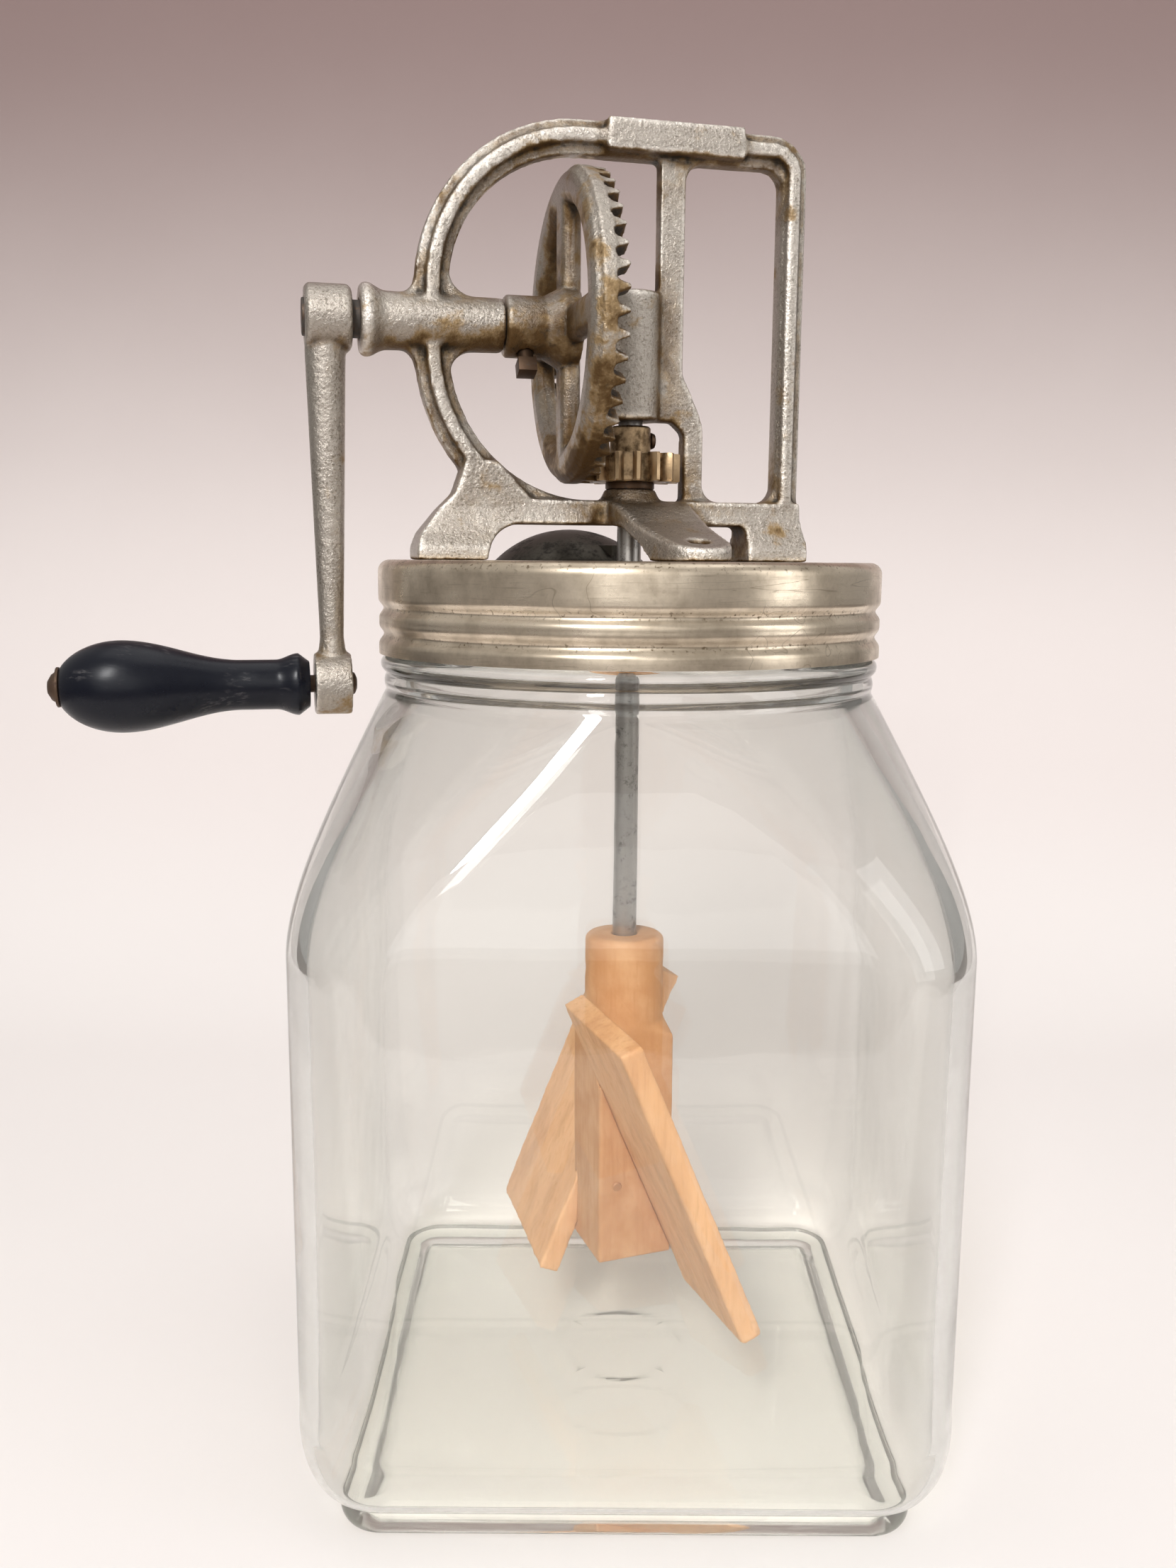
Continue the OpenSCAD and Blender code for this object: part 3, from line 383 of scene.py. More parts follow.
def mark_surface(piece, depth, rounds=12):
    """Keeps at each point its crease, from -1 on a crest to 1 in a corner, and how far it faces down."""
    mesh = piece.data

    def read(items, name, width, kind=float):
        values = np.empty(len(items) * width, dtype=kind)
        items.foreach_get(name, values)
        return values.reshape(-1, width)

    def keep(name, values):
        attribute = mesh.attributes.new(name, "FLOAT", "POINT")
        attribute.data.foreach_set("value", values.astype(np.float32))

    points = read(mesh.vertices, "co", 3)
    normals = read(mesh.vertices, "normal", 3)
    edges = read(mesh.edges, "vertices", 2, np.int64)
    sunk = np.einsum("ij,ij->i", smoothed(points, edges, rounds) - points, normals) / depth
    keep("crease", np.clip(sunk, -1.0, 1.0))
    keep("under", np.clip(-normals[:, 2], 0.0, 1.0))


def settle(piece, body, slot, material, *nodes):
    """Gives a piece its material and its place on a body, and lets it stand for CAD nodes."""
    piece.data.materials.clear()
    piece.data.materials.append(material)
    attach(piece, body)
    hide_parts(*nodes)


# Material helpers

def start_material(name):
    """A material with one Principled shader, and its node tree."""
    material = bpy.data.materials.new(name)
    material.use_nodes = True
    tree = material.node_tree
    return material, tree, tree.nodes["Principled BSDF"]


def add(tree, kind, inputs=None, **settings):
    """A node with its settings, and its inputs set to a value or linked to a socket."""
    node = tree.nodes.new(kind)
    for key, value in settings.items():
        setattr(node, key, value)
    for key, value in (inputs or {}).items():
        if isinstance(value, bpy.types.NodeSocket):
            tree.links.new(value, node.inputs[key])
        else:
            node.inputs[key].default_value = value
    return node


def calc(tree, operation, first, second=0.0, clamp=False):
    """A sum, product or other calculation of two numbers."""
    node = add(tree, "ShaderNodeMath", {0: first, 1: second}, operation=operation, use_clamp=clamp)
    return node.outputs[0]


def times(tree, first, second):
    """A product of two numbers."""
    return calc(tree, "MULTIPLY", first, second)


def larger(tree, first, *others):
    """The largest of some numbers."""
    for other in others:
        first = calc(tree, "MAXIMUM", first, other)
    return first


def swing(tree, value):
    """Noise moved so that it swings about 0."""
    return calc(tree, "SUBTRACT", value, 0.5)


def weighted(tree, first, *layers):
    """A number with further numbers added to it, each times its weight."""
    for value, weight in layers:
        first = calc(tree, "ADD", first, times(tree, value, weight))
    return first


def spread(tree, value, low, high, to_low=0.0, to_high=1.0):
    """A number moved smoothly from one range to another."""
    node = add(tree, "ShaderNodeMapRange", {"Value": value, "From Min": low, "From Max": high,
                                            "To Min": to_low, "To Max": to_high})
    node.interpolation_type = "SMOOTHSTEP"
    return node.outputs["Result"]


def blend(tree, amount, first, second):
    """A mix of two colours."""
    return add(tree, "ShaderNodeMix", {0: amount, 6: first, 7: second}, data_type="RGBA").outputs[2]


def object_coords(tree, turn=(0.0, 0.0, 0.0), scale=(1.0, 1.0, 1.0)):
    """Object coordinates, turned and stretched."""
    coords = add(tree, "ShaderNodeTexCoord").outputs["Object"]
    node = add(tree, "ShaderNodeMapping", {"Vector": coords, "Rotation": turn, "Scale": scale})
    return node.outputs["Vector"]


def noise(tree, coords, size, detail=4.0, roughness=0.55):
    """Soft noise with features of this size in metres."""
    return add(tree, "ShaderNodeTexNoise", {"Vector": coords, "Scale": 1.0 / size, "Detail": detail,
                                            "Roughness": roughness}).outputs["Fac"]


def bumps(tree, *layers):
    """Bump nodes one over the other, each from a height, a strength and a depth in metres."""
    normal = None
    for height, strength, depth in layers:
        inputs = {"Height": height, "Strength": strength, "Distance": depth}
        if normal is not None:
            inputs["Normal"] = normal
        normal = add(tree, "ShaderNodeBump", inputs).outputs["Normal"]
    return normal


def wire(tree, shader, **sockets):
    """Links or sets the shader's sockets, named with underscores for spaces."""
    for key, value in sockets.items():
        socket = shader.inputs[key.replace("_", " ")]
        if isinstance(value, bpy.types.NodeSocket):
            tree.links.new(value, socket)
        else:
            socket.default_value = value


def level_band(tree, value, level, reach):
    """A soft band where a value is near a level: 1 at the level, 0 at its reach."""
    return spread(tree, calc(tree, "ABSOLUTE", calc(tree, "SUBTRACT", value, level)), 0.0, reach, 1.0, 0.0)


def scratches(tree, coords, size, width, cover):
    """Thin wandering lines, on part of the surface only."""
    thin = level_band(tree, noise(tree, coords, size, 2.0, 0.4), 0.5, width)
    patch = spread(tree, noise(tree, coords, 2.3 * size, 1.0), cover, cover + 0.06)
    return times(tree, thin, patch)


def see_through(tree, amount, shader, colour):
    """Lets a share of the light go straight through a surface."""
    clear = add(tree, "ShaderNodeBsdfTransparent", {"Color": colour})
    mixed = add(tree, "ShaderNodeMixShader", {0: amount, 1: shader.outputs["BSDF"], 2: clear.outputs["BSDF"]})
    tree.links.new(mixed.outputs["Shader"], tree.nodes["Material Output"].inputs["Surface"])


def casting_finish(name, look, patina, soot_and_shade, turn):
    """Aluminium paint on a sand casting: lighter on its crests, as wear and painted highlight; brown grease
    stain mixed with painted shade in its corners and on its undersides; sooty painted shade in its deepest
    corners and creases, with dirt in random pits.
    """
    material, tree, shader = start_material(name)
    coords = object_coords(tree, turn)
    # Painted shade: corners found by ambient occlusion, creases and surfaces that face down are painted brown
    # and sooty dark; random blotches and pits add real grease stain and dirt.
    crease = add(tree, "ShaderNodeAttribute", attribute_name="crease").outputs["Fac"]
    under = add(tree, "ShaderNodeAttribute", attribute_name="under").outputs["Fac"]
    near = add(tree, "ShaderNodeAmbientOcclusion", {"Distance": look.corner}, samples=8, only_local=True)
    corner = calc(tree, "SUBTRACT", 1.0, near.outputs["AO"])
    blotch = noise(tree, coords, look.blotch, 5.0, 0.62)
    grain = noise(tree, coords, look.grain, 5.0, 0.65)
    pits = noise(tree, coords, 3.0 * look.grain, 4.0, 0.6)
    shade_in_corners_and_undersides = weighted(tree, times(tree, corner, 4.6), (under, 0.85))
    # Brown mask: painted shade from corners and undersides, and real grease stain from the random blotches.
    varnish_and_shade = weighted(tree, shade_in_corners_and_undersides, (swing(tree, blotch), 3.0))
    brown = spread(tree, varnish_and_shade, 0.15 - patina, 1.0 - patina)
    # Sooty mask: painted shade from corners, creases and undersides, and dirt from the random pits.
    grime_and_shade = weighted(tree, times(tree, shade_in_corners_and_undersides, 0.36), (crease, 0.80), (swing(tree, pits), 1.8))
    dirt = spread(tree, grime_and_shade, 0.40 - soot_and_shade, 1.0 - soot_and_shade)
    # Painted highlight: crests are painted lighter, partly as paint worn by hands and partly as a painted
    # highlight.
    crest_wear_and_highlight = spread(tree, times(tree, crease, -1.0), 0.12, 0.75)
    silver = blend(tree, crest_wear_and_highlight, look.silver, look.bright)
    pepper = times(tree, spread(tree, grain, 0.48, 0.66), spread(tree, blotch, 0.38, 0.60, 0.25, 0.75))
    mottled = blend(tree, pepper, silver, look.pepper)
    # The golden and brown stains are real grease where the blotches lead, and painted shade where corners and
    # undersides lead.
    glazed_and_shaded = blend(tree, spread(tree, brown, 0.0, 0.55, 0.0, 0.85), mottled, look.glaze)
    stained = blend(tree, spread(tree, brown, 0.35, 1.0), glazed_and_shaded, look.patina)
    dull = larger(tree, brown, dirt)
    wire(tree, shader, Base_Color=blend(tree, dirt, stained, look.soot_and_shade),
         Metallic=spread(tree, dull, 0.0, 1.0, 0.94, 0.62),
         Roughness=weighted(tree, spread(tree, dull, 0.0, 1.0, 0.22, 0.44), (grain, 0.14)),
         Normal=bumps(tree, (grain, 0.60, 0.40 * MM), (pits, 0.50, 0.7 * MM)))
    return material


def lid_finish(look):
    """Worn plated sheet with rolling marks, stains and scratches."""
    material, tree, shader = start_material("worn_plating")
    coords = object_coords(tree)
    rolled = object_coords(tree, scale=(0.06, 0.06, 1.0))
    height = add(tree, "ShaderNodeSeparateXYZ", {0: coords}).outputs["Z"]
    streak = noise(tree, rolled, 0.8 * MM, 4.0, 0.6)
    cloud = noise(tree, coords, 16 * MM, 6.0, 0.6)
    speck = noise(tree, coords, 0.9 * MM, 3.0, 0.55)
    low, high = [corner.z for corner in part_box("screw_lid")]
    edge = times(tree, spread(tree, height, high - 3.2 * MM, high - 0.6 * MM),
                 spread(tree, height, high + 0.1 * MM, high - 0.5 * MM))
    grimy = larger(tree, edge, level_band(tree, height, between(low, high, 0.50), 1.6 * MM),
                   level_band(tree, height, between(low, high, 0.20), 1.4 * MM))
    specks = times(tree, spread(tree, speck, 0.56, 0.70), calc(tree, "ADD", grimy, 0.12, clamp=True))
    lines = larger(tree, scratches(tree, coords, 17 * MM, 0.003, 0.56),
                   scratches(tree, rolled, 2.2 * MM, 0.012, 0.60))
    marks = larger(tree, specks, times(tree, lines, 0.5))
    dark = look.lid_dark
    mottle = blend(tree, spread(tree, cloud, 0.36, 0.68, 0.0, 0.55), look.lid, dark)
    rubbed = blend(tree, spread(tree, streak, 0.55, 0.75, 0.0, 0.35), mottle, dark)
    wire(tree, shader, Base_Color=blend(tree, marks, rubbed, dark),
         Metallic=spread(tree, marks, 0.0, 1.0, 0.96, 0.55),
         Roughness=weighted(tree, spread(tree, cloud, 0.3, 0.7, 0.19, 0.33), (streak, 0.10)),
         Normal=bumps(tree, (streak, 0.12, 0.08 * MM), (marks, -0.35, 0.10 * MM), (cloud, 0.10, 0.6 * MM)))
    return material


def metal_finish(name, clean, stain, roughness, cover, size, metallic=0.92):
    """Small turned or stamped metal with stains."""
    material, tree, shader = start_material(name)
    coords = object_coords(tree)
    cloud = noise(tree, coords, size, 6.0, 0.65)
    grain = noise(tree, coords, 0.12 * size, 4.0, 0.6)
    dirty = spread(tree, weighted(tree, times(tree, cloud, 0.7), (grain, 0.3)), cover, cover + 0.16)
    wire(tree, shader, Base_Color=blend(tree, dirty, clean, stain),
         Metallic=spread(tree, dirty, 0.0, 1.0, metallic, 0.5 * metallic),
         Roughness=spread(tree, dirty, 0.0, 1.0, roughness, roughness + 0.25),
         Normal=bumps(tree, (grain, 0.25, 0.12 * MM), (cloud, 0.2, 0.2 * MM)))
    return material


def brass_finish(look):
    """Tarnished brass, bright on the crests of its teeth and greasy between them."""
    material, tree, shader = start_material("tarnished_brass")
    coords = object_coords(tree)
    radius = add(tree, "ShaderNodeVectorMath", {0: object_coords(tree, scale=(1.0, 1.0, 0.0))},
                 operation="LENGTH").outputs["Value"]
    cloud = noise(tree, coords, 3 * MM, 5.0, 0.6)
    grain = noise(tree, coords, 0.5 * MM, 4.0, 0.6)
    worn = spread(tree, weighted(tree, radius, (swing(tree, cloud), 3 * MM)), 10.0 * MM, 12.6 * MM)
    base = blend(tree, spread(tree, cloud, 0.35, 0.65), look.brass_dark, look.brass)
    wire(tree, shader, Base_Color=blend(tree, worn, base, look.brass), Metallic=0.9,
         Roughness=spread(tree, cloud, 0.3, 0.7, 0.30, 0.52),
         Normal=bumps(tree, (grain, 0.3, 0.15 * MM), (cloud, 0.25, 0.3 * MM)))
    return material


def glass_finish(look):
    """Clear pressed glass with slow waves, that lets light through to the paper."""
    material, tree, shader = start_material("pressed_glass")
    wave = noise(tree, object_coords(tree), look.ripple, 1.0, 0.4)
    wire(tree, shader, Base_Color=look.tone, Roughness=0.0, IOR=look.ior, Transmission_Weight=1.0,
         Normal=bumps(tree, (wave, 0.10, 1.2 * MM)))
    shadow = add(tree, "ShaderNodeLightPath").outputs["Is Shadow Ray"]
    see_through(tree, larger(tree, shadow, look.haze), shader, look.shade)
    depth = add(tree, "ShaderNodeVolumeAbsorption",
                {"Color": look.depth_tone, "Density": look.absorption})
    tree.links.new(depth.outputs["Volume"], tree.nodes["Material Output"].inputs["Volume"])
    return material


def wood_finish(name, look, base, turn):
    """Oiled maple with its grain along the turned Z axis."""
    material, tree, shader = start_material(name)

    def lines(size, stretch, detail, roughness):
        return noise(tree, object_coords(tree, turn, (1.0, 1.0, stretch)), size, detail, roughness)

    fibres = lines(look.fibre, 0.07, 5.0, 0.62)
    rings = lines(7 * look.fibre, 0.16, 3.0, 0.5)
    pores = lines(0.3 * look.fibre, 0.12, 2.0, 0.5)
    fuzz = noise(tree, object_coords(tree), 12 * MM, 5.0, 0.6)
    colour = blend(tree, spread(tree, fuzz, 0.3, 0.7, 0.0, 0.35), base, look.pale)
    for layer, low, high, most in ((rings, 0.42, 0.72, 0.42), (fibres, 0.50, 0.72, 0.40),
                                   (pores, 0.62, 0.75, 0.35)):
        colour = blend(tree, spread(tree, layer, low, high, 0.0, most), colour, look.late)
    wire(tree, shader, Base_Color=colour, Roughness=spread(tree, fibres, 0.3, 0.7, 0.52, 0.68),
         Specular_IOR_Level=0.35,
         Normal=bumps(tree, (fibres, 0.35, 0.25 * MM), (pores, 0.25, 0.12 * MM)))
    return material


def lacquer_finish(look, turn):
    """Black lacquer over turned wood, rubbed dull along the grain in places."""
    material, tree, shader = start_material("black_lacquer")
    fibres = noise(tree, object_coords(tree, turn, (0.10, 1.0, 1.0)), 0.7 * MM, 4.0, 0.6)
    cloud = noise(tree, object_coords(tree, turn), 12 * MM, 4.0, 0.6)
    rubbed = times(tree, spread(tree, cloud, 0.52, 0.72), spread(tree, fibres, 0.50, 0.62))
    marks = times(tree, rubbed, 0.7)
    wire(tree, shader, Base_Color=blend(tree, marks, look.lacquer, look.worn),
         Roughness=weighted(tree, spread(tree, cloud, 0.3, 0.7, 0.24, 0.38), (marks, 0.3)),
         Specular_IOR_Level=0.26,
         Normal=bumps(tree, (fibres, 0.22, 0.10 * MM), (marks, -0.3, 0.06 * MM)))
    return material


# Geometry node trees

def start_tree(name, source, result, **inputs):
    """A geometry tree with its sockets, the values given to it, and the identifiers of its inputs."""
    tree = bpy.data.node_groups.new(name, "GeometryNodeTree")
    socket = tree.interface.new_socket
    socket(name=source, in_out="INPUT", socket_type="NodeSocketGeometry")
    identifiers = {}
    for key, kind in inputs.items():
        identifiers[key] = socket(name=key, in_out="INPUT", socket_type="NodeSocket" + kind).identifier
    socket(name=result, in_out="OUTPUT", socket_type="NodeSocketGeometry")
    return tree, add(tree, "NodeGroupInput").outputs, identifiers


def real_copies(tree, points, instance, rotation):
    """Real copies of an instance on points."""
    placed = add(tree, "GeometryNodeInstanceOnPoints",
                 {"Points": points, "Instance": instance, "Rotation": rotation})
    real = add(tree, "GeometryNodeRealizeInstances", {"Geometry": placed.outputs["Instances"]})
    return real.outputs["Geometry"]


def end_tree(tree, geometry, material, result):
    """Gives the geometry its material and hands it out of the tree."""
    finish = add(tree, "GeometryNodeSetMaterial", {"Geometry": geometry, "Material": material})
    add(tree, "NodeGroupOutput", {result: finish.outputs["Geometry"]})


def ring_tree(name):
    """A tree that repeats a sector round the Z axis and merges the seams."""
    tree, given, identifiers = start_tree(name, "sector", "ring", sectors="Int", seam="Float",
                                          material="Material")
    line = add(tree, "GeometryNodeMeshLine", {"Count": given["sectors"], "Offset": (0.0, 0.0, 0.0)})
    index = add(tree, "GeometryNodeInputIndex").outputs["Index"]
    angle = times(tree, index, calc(tree, "DIVIDE", math.tau, given["sectors"]))
    turn = add(tree, "ShaderNodeCombineXYZ", {"Z": angle}).outputs["Vector"]
    real = real_copies(tree, line.outputs["Mesh"], given["sector"], turn)
    whole = add(tree, "GeometryNodeMergeByDistance", {"Geometry": real, "Distance": given["seam"]})
    end_tree(tree, whole.outputs["Geometry"], given["material"], "ring")
    return tree, identifiers


def headed_pin_tree(name):
    """A tree that puts a pin with a coned head on each point, along the point's facing attribute."""
    tree, given, identifiers = start_tree(name, "places", "pins", head="Float", rise="Float", shank="Float",
                                          reach="Float", material="Material")
    head = add(tree, "GeometryNodeMeshCone", {
        "Vertices": 40, "Radius Top": times(tree, given["head"], 0.78), "Radius Bottom": given["head"],
        "Depth": given["rise"]})
    shank = add(tree, "GeometryNodeMeshCylinder", {
        "Vertices": 24, "Radius": given["shank"], "Depth": given["reach"]})
    drop = add(tree, "ShaderNodeCombineXYZ", {"Z": times(tree, given["reach"], -0.5)})
    hung = add(tree, "GeometryNodeTransform", {
        "Geometry": shank.outputs["Mesh"], "Translation": drop.outputs["Vector"]})
    pin = add(tree, "GeometryNodeJoinGeometry")
    tree.links.new(head.outputs["Mesh"], pin.inputs["Geometry"])
    tree.links.new(hung.outputs["Geometry"], pin.inputs["Geometry"])
    facing = add(tree, "GeometryNodeInputNamedAttribute", {"Name": "facing"}, data_type="FLOAT_VECTOR")
    turn = add(tree, "FunctionNodeAlignRotationToVector", {"Vector": facing.outputs["Attribute"]}, axis="Z")
    pins = real_copies(tree, given["places"], pin.outputs["Geometry"], turn.outputs["Rotation"])
    end_tree(tree, pins, given["material"], "pins")
    return tree, identifiers


def grow(piece, tree, identifiers, **values):
    """Runs a geometry tree on a piece with these inputs and keeps the result as its mesh."""
    modifier = piece.modifiers.new(tree.name, "NODES")
    modifier.node_group = tree
    for key, value in values.items():
        modifier[identifiers[key]] = value
    bake_modifiers(piece)
    piece.data.shade_smooth()
    piece.data.set_sharp_from_angle(angle=math.radians(35))


# The jar

FOOT_STEPS = 14
HEEL_STEPS = 18
SIDE_STEPS = (0.25, 0.5, 0.75)
SHOULDER_STEPS = 44
THREAD_ROWS = 34
THREAD_TURNS = 1.5
NECK_FLAT = 0.2 * MM
# The hollow under the base: how far in from the foot's edge and how high, in millimetres
BASE_HOLLOW = ((10.0, 2.4), (7.5, 1.9), (5.0, 1.0), (3.6, 0.35), (2.4, 0.0))


def rounded_square(half, corner, height, flat_steps=8, corner_steps=24):
    """Points of one level ring: a square with round corners, in the same number of steps at any size."""
    flat = half - corner
    ring = []
    for side in range(4):
        turn = Matrix.Rotation(math.radians(90 * side), 2)
        for step in range(flat_steps):
            ring.append(turn @ Vector((half, flat * (2 * step / flat_steps - 1))))
        for step in range(corner_steps):
            angle = math.radians(90 * step / corner_steps)
            ring.append(turn @ Vector((flat + corner * math.cos(angle), flat + corner * math.sin(angle))))
    return [Vector((x, y, height)) for x, y in ring]


def between(start, end, t):
    """The value at a share of the way from start to end."""
    return start + (end - start) * t


def shoulder(body, neck, corner, low, high):
    """Rings from the square body's top to the round neck, as half width, corner radius and height."""
    bend = 0.45
    slope = lambda t: math.hypot(t, bend) - bend
    rings = []
    for step in range(SHOULDER_STEPS + 1):
        t = step / SHOULDER_STEPS
        half = between(body, neck, slope(t) / slope(1.0))
        rings.append((half, between(corner, half - NECK_FLAT, t ** 1.5), between(low, high, t)))
    return rings


def heel(inner, outer, inner_corner, outer_corner, low, high):
    """Rings from the foot out to the sides."""
    rings = []
    for step in range(HEEL_STEPS + 1):
        t = step / HEEL_STEPS
        angle = math.pi / 2 * t
        rings.append((between(inner, outer, math.sin(angle)), between(inner_corner, outer_corner, t),
                      between(low, high, 1 - math.cos(angle))))
    return rings


def round_ring(radius, height):
    """A ring that is as good as round."""
    return (radius, radius - NECK_FLAT, height)


def foot_rings(sizes):
    """Rings from the hollow base over the foot's edge and up its side."""
    half = sizes.foot_width / 2 - sizes.foot_edge
    corner = sizes.foot_corner - sizes.foot_edge
    bulge = sizes.foot_height / 2 + 0.6 * MM
    rings = [(half - inset * MM, max(corner - inset * MM, 2 * MM), rise * MM) for inset, rise in BASE_HOLLOW]
    for step in range(FOOT_STEPS - 1):
        angle = math.pi * step / FOOT_STEPS
        out = sizes.foot_edge * math.sin(angle)
        rings.append((half + out, corner + out, bulge - bulge * math.cos(angle)))
    return rings


def neck_rings(sizes, finish):
    """Rings of the neck: the ring over the shoulder, the bead, and the step in to the finish."""
    ring = sizes.neck_radius + sizes.ring_out
    bead = sizes.neck_radius + sizes.bead_out
    path = [(ring + 0.2 * MM, 0.6), (ring + 0.5 * MM, 2.0), (ring + 0.2 * MM, 3.4), (ring, 4.2),
            (bead - 0.5 * MM, 5.1), (bead, 6.2), (bead - 0.2 * MM, 7.5), (bead - 1.2 * MM, 8.3),
            (finish, 8.9)]
    return [round_ring(radius, sizes.neck_base + rise * MM) for radius, rise in smooth_path(path, 4)]


def jar_rings(sizes):
    """Every ring of the jar, from its base up the outside, and from its rim down the inside."""
    body = sizes.body_width / 2
    foot = sizes.foot_width / 2
    corner = sizes.corner_radius
    notch = foot - 1.2 * MM
    heel_low = sizes.foot_height + 1.5 * MM
    finish = sizes.neck_radius - 0.8 * MM
    thread_low = sizes.neck_base + 9.1 * MM
    thread_high = sizes.rim_height - 2 * MM
    rim = sizes.rim_height - sizes.rim_round
    outside = foot_rings(sizes)
    outside += heel(notch, body, sizes.foot_corner, corner, heel_low, sizes.heel_height)
    outside += [(body, corner, between(sizes.heel_height, sizes.side_top, t)) for t in SIDE_STEPS]
    outside += shoulder(body, sizes.neck_radius + sizes.ring_out, corner, sizes.side_top, sizes.neck_base)
    outside += neck_rings(sizes, finish)
    outside += [round_ring(finish, between(thread_low, thread_high, row / THREAD_ROWS))
                for row in range(THREAD_ROWS + 1)]
    outside += [round_ring(*point) for point in
                arc((finish - sizes.rim_round, rim), sizes.rim_round, 0, 90, 6)]
    mouth = finish - sizes.wall
    body -= sizes.wall
    corner -= sizes.wall
    floor_half = foot - 1.5 * MM
    floor_corner = sizes.foot_corner - 1 * MM
    bend_top = sizes.floor + sizes.floor_bend
    inside = [round_ring(*point) for point in
              arc((mouth + sizes.rim_round, rim), sizes.rim_round, 90, 180, 6)]
    inside += reversed(shoulder(body, mouth, corner, sizes.side_top - sizes.inner_drop,
                                sizes.neck_base - sizes.inner_drop))
    inside += [(body, corner, between(sizes.side_top, bend_top, t)) for t in SIDE_STEPS]
    inside += reversed(heel(floor_half, body, floor_corner, corner, sizes.floor, bend_top))
    return outside, inside


def thread_height(sizes, angle, height):
    """How far the thread stands out at a place on the neck: one and a half turns, faded at its ends."""
    start = sizes.rim_height - sizes.thread_drop
    fade = 0.06
    lift = 0.0
    for lap in (0, 1):
        turn = angle / math.tau + lap
        ends = min(1.0, turn / fade, (THREAD_TURNS - turn) / fade)
        offset = (height - start - turn * sizes.thread_pitch) / sizes.thread_half
        if ends > 0 and abs(offset) < 1:
            lift = max(lift, ends * (1 - offset * offset) ** 2)
    return lift * sizes.thread_out


def jar_mesh(sizes):
    """The jar as one closed skin, outside and inside, with its thread and the mould mark under its floor."""
    outside, inside = jar_rings(sizes)
    neck_top = sizes.neck_base + 9 * MM
    points = []
    for half, corner, height in outside:
        for point in rounded_square(half, corner, height):
            if height > neck_top:
                angle = math.atan2(point.y, point.x) % math.tau
                grown = (half + thread_height(sizes, angle, height)) / half
                point = Vector((point.x * grown, point.y * grown, height))
            points.append(point)
    for ring in inside:
        points += rounded_square(*ring)
    rows = len(outside) + len(inside)
    columns = len(points) // rows
    faces = ring_faces(rows, columns, False)
    faces += cap(points, (rows - 1) * columns, columns, floor_dish(sizes))
    faces += cap(points, 0, columns, base_dish(sizes))
    return mesh_from("jar", points, faces)


def cap(points, start, columns, dish):
    """Closes a ring towards its middle in steps, each at the dish's height for its share of the way out."""
    steps = 40
    faces = []
    ring = points[start:start + columns]
    below = list(range(start, start + columns))
    following = [(i + 1) % columns for i in range(columns)]
    for step in range(1, steps):
        keep = 1 - step / steps
        row = list(range(len(points), len(points) + columns))
        for edge in ring:
            x, y = edge.x * keep, edge.y * keep
            points.append(Vector((x, y, dish(math.hypot(x, y), keep))))
        faces += [(below[i], below[j], row[j], row[i]) for i, j in enumerate(following)]
        below = row
    points.append(Vector((0, 0, dish(0.0, 0.0))))
    middle = len(points) - 1
    faces += [(below[i], below[j], middle) for i, j in enumerate(following)]
    return faces


def floor_dish(sizes):
    """The inside floor: a little higher towards its middle."""
    return lambda radius, keep: sizes.floor + 0.6 * MM * (1 - keep * keep)


def base_dish(sizes):
    """The underside: a shallow hollow with the ring of the mould mark."""
    edge_rise = 2.4 * MM
    middle_rise = 0.8 * MM
    mark_rise = 0.8 * MM
    mark_width = 0.9 * MM

    def height(radius, keep):
        mark = math.exp(-((radius - sizes.mark_radius) / mark_width) ** 2)
        return edge_rise + middle_rise * (1 - keep ** 4) + mark_rise * mark

    return height


class CHURN_OT_jar(bpy.types.Operator):
    """Make the glass jar with its rim, thread, bead, shoulder and foot"""
    bl_idname = "churn.jar"
    bl_label = "Glass jar"

    def execute(self, context):
        jar = add_object("glass_jar_body", jar_mesh(context.scene.churn_jar))
        settle(jar, "jar", "glass", glass_finish(context.scene.churn_glass), "glass_jar")
        return {"FINISHED"}


# The lid and what is on it

# How deep the lid's side lies in, in grooves, and at which share of its height
LID_SIDE = ((0.0, 0.72), (0.0, 0.62), (0.15, 0.56), (1.0, 0.485), (0.2, 0.41), (0.1, 0.35), (0.2, 0.29),
            (1.0, 0.21), (0.15, 0.13), (0.0, 0.08), (0.0, 0.0))


def lid_outline(sizes, wall):
    """The lid's outside from its top edge down to its lip, moved in by a wall, as radius and height."""
    low, high = [corner.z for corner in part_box("screw_lid")]
    out = sizes.radius - wall
    edge = arc((sizes.radius - sizes.edge, high - sizes.edge), sizes.edge - wall, 90, 0, 10)
    side = [(out - depth * sizes.groove, between(low, high, share)) for depth, share in LID_SIDE]
    return edge + smooth_path(side, 6)


def drill(piece, place, radius, height):
    """Cuts a round hole through a piece, down the place's Z axis."""
    profile = [(ON_AXIS, -height), (radius, -height), (radius, height), (ON_AXIS, height)]
    bit = add_object("bit", lathe("bit", profile, 48, place))
    hole = piece.modifiers.new("Hole", "BOOLEAN")
    hole.operation = "DIFFERENCE"
    hole.solver = "EXACT"
    hole.object = bit
    bake_modifiers(piece)
    bpy.data.objects.remove(bit)


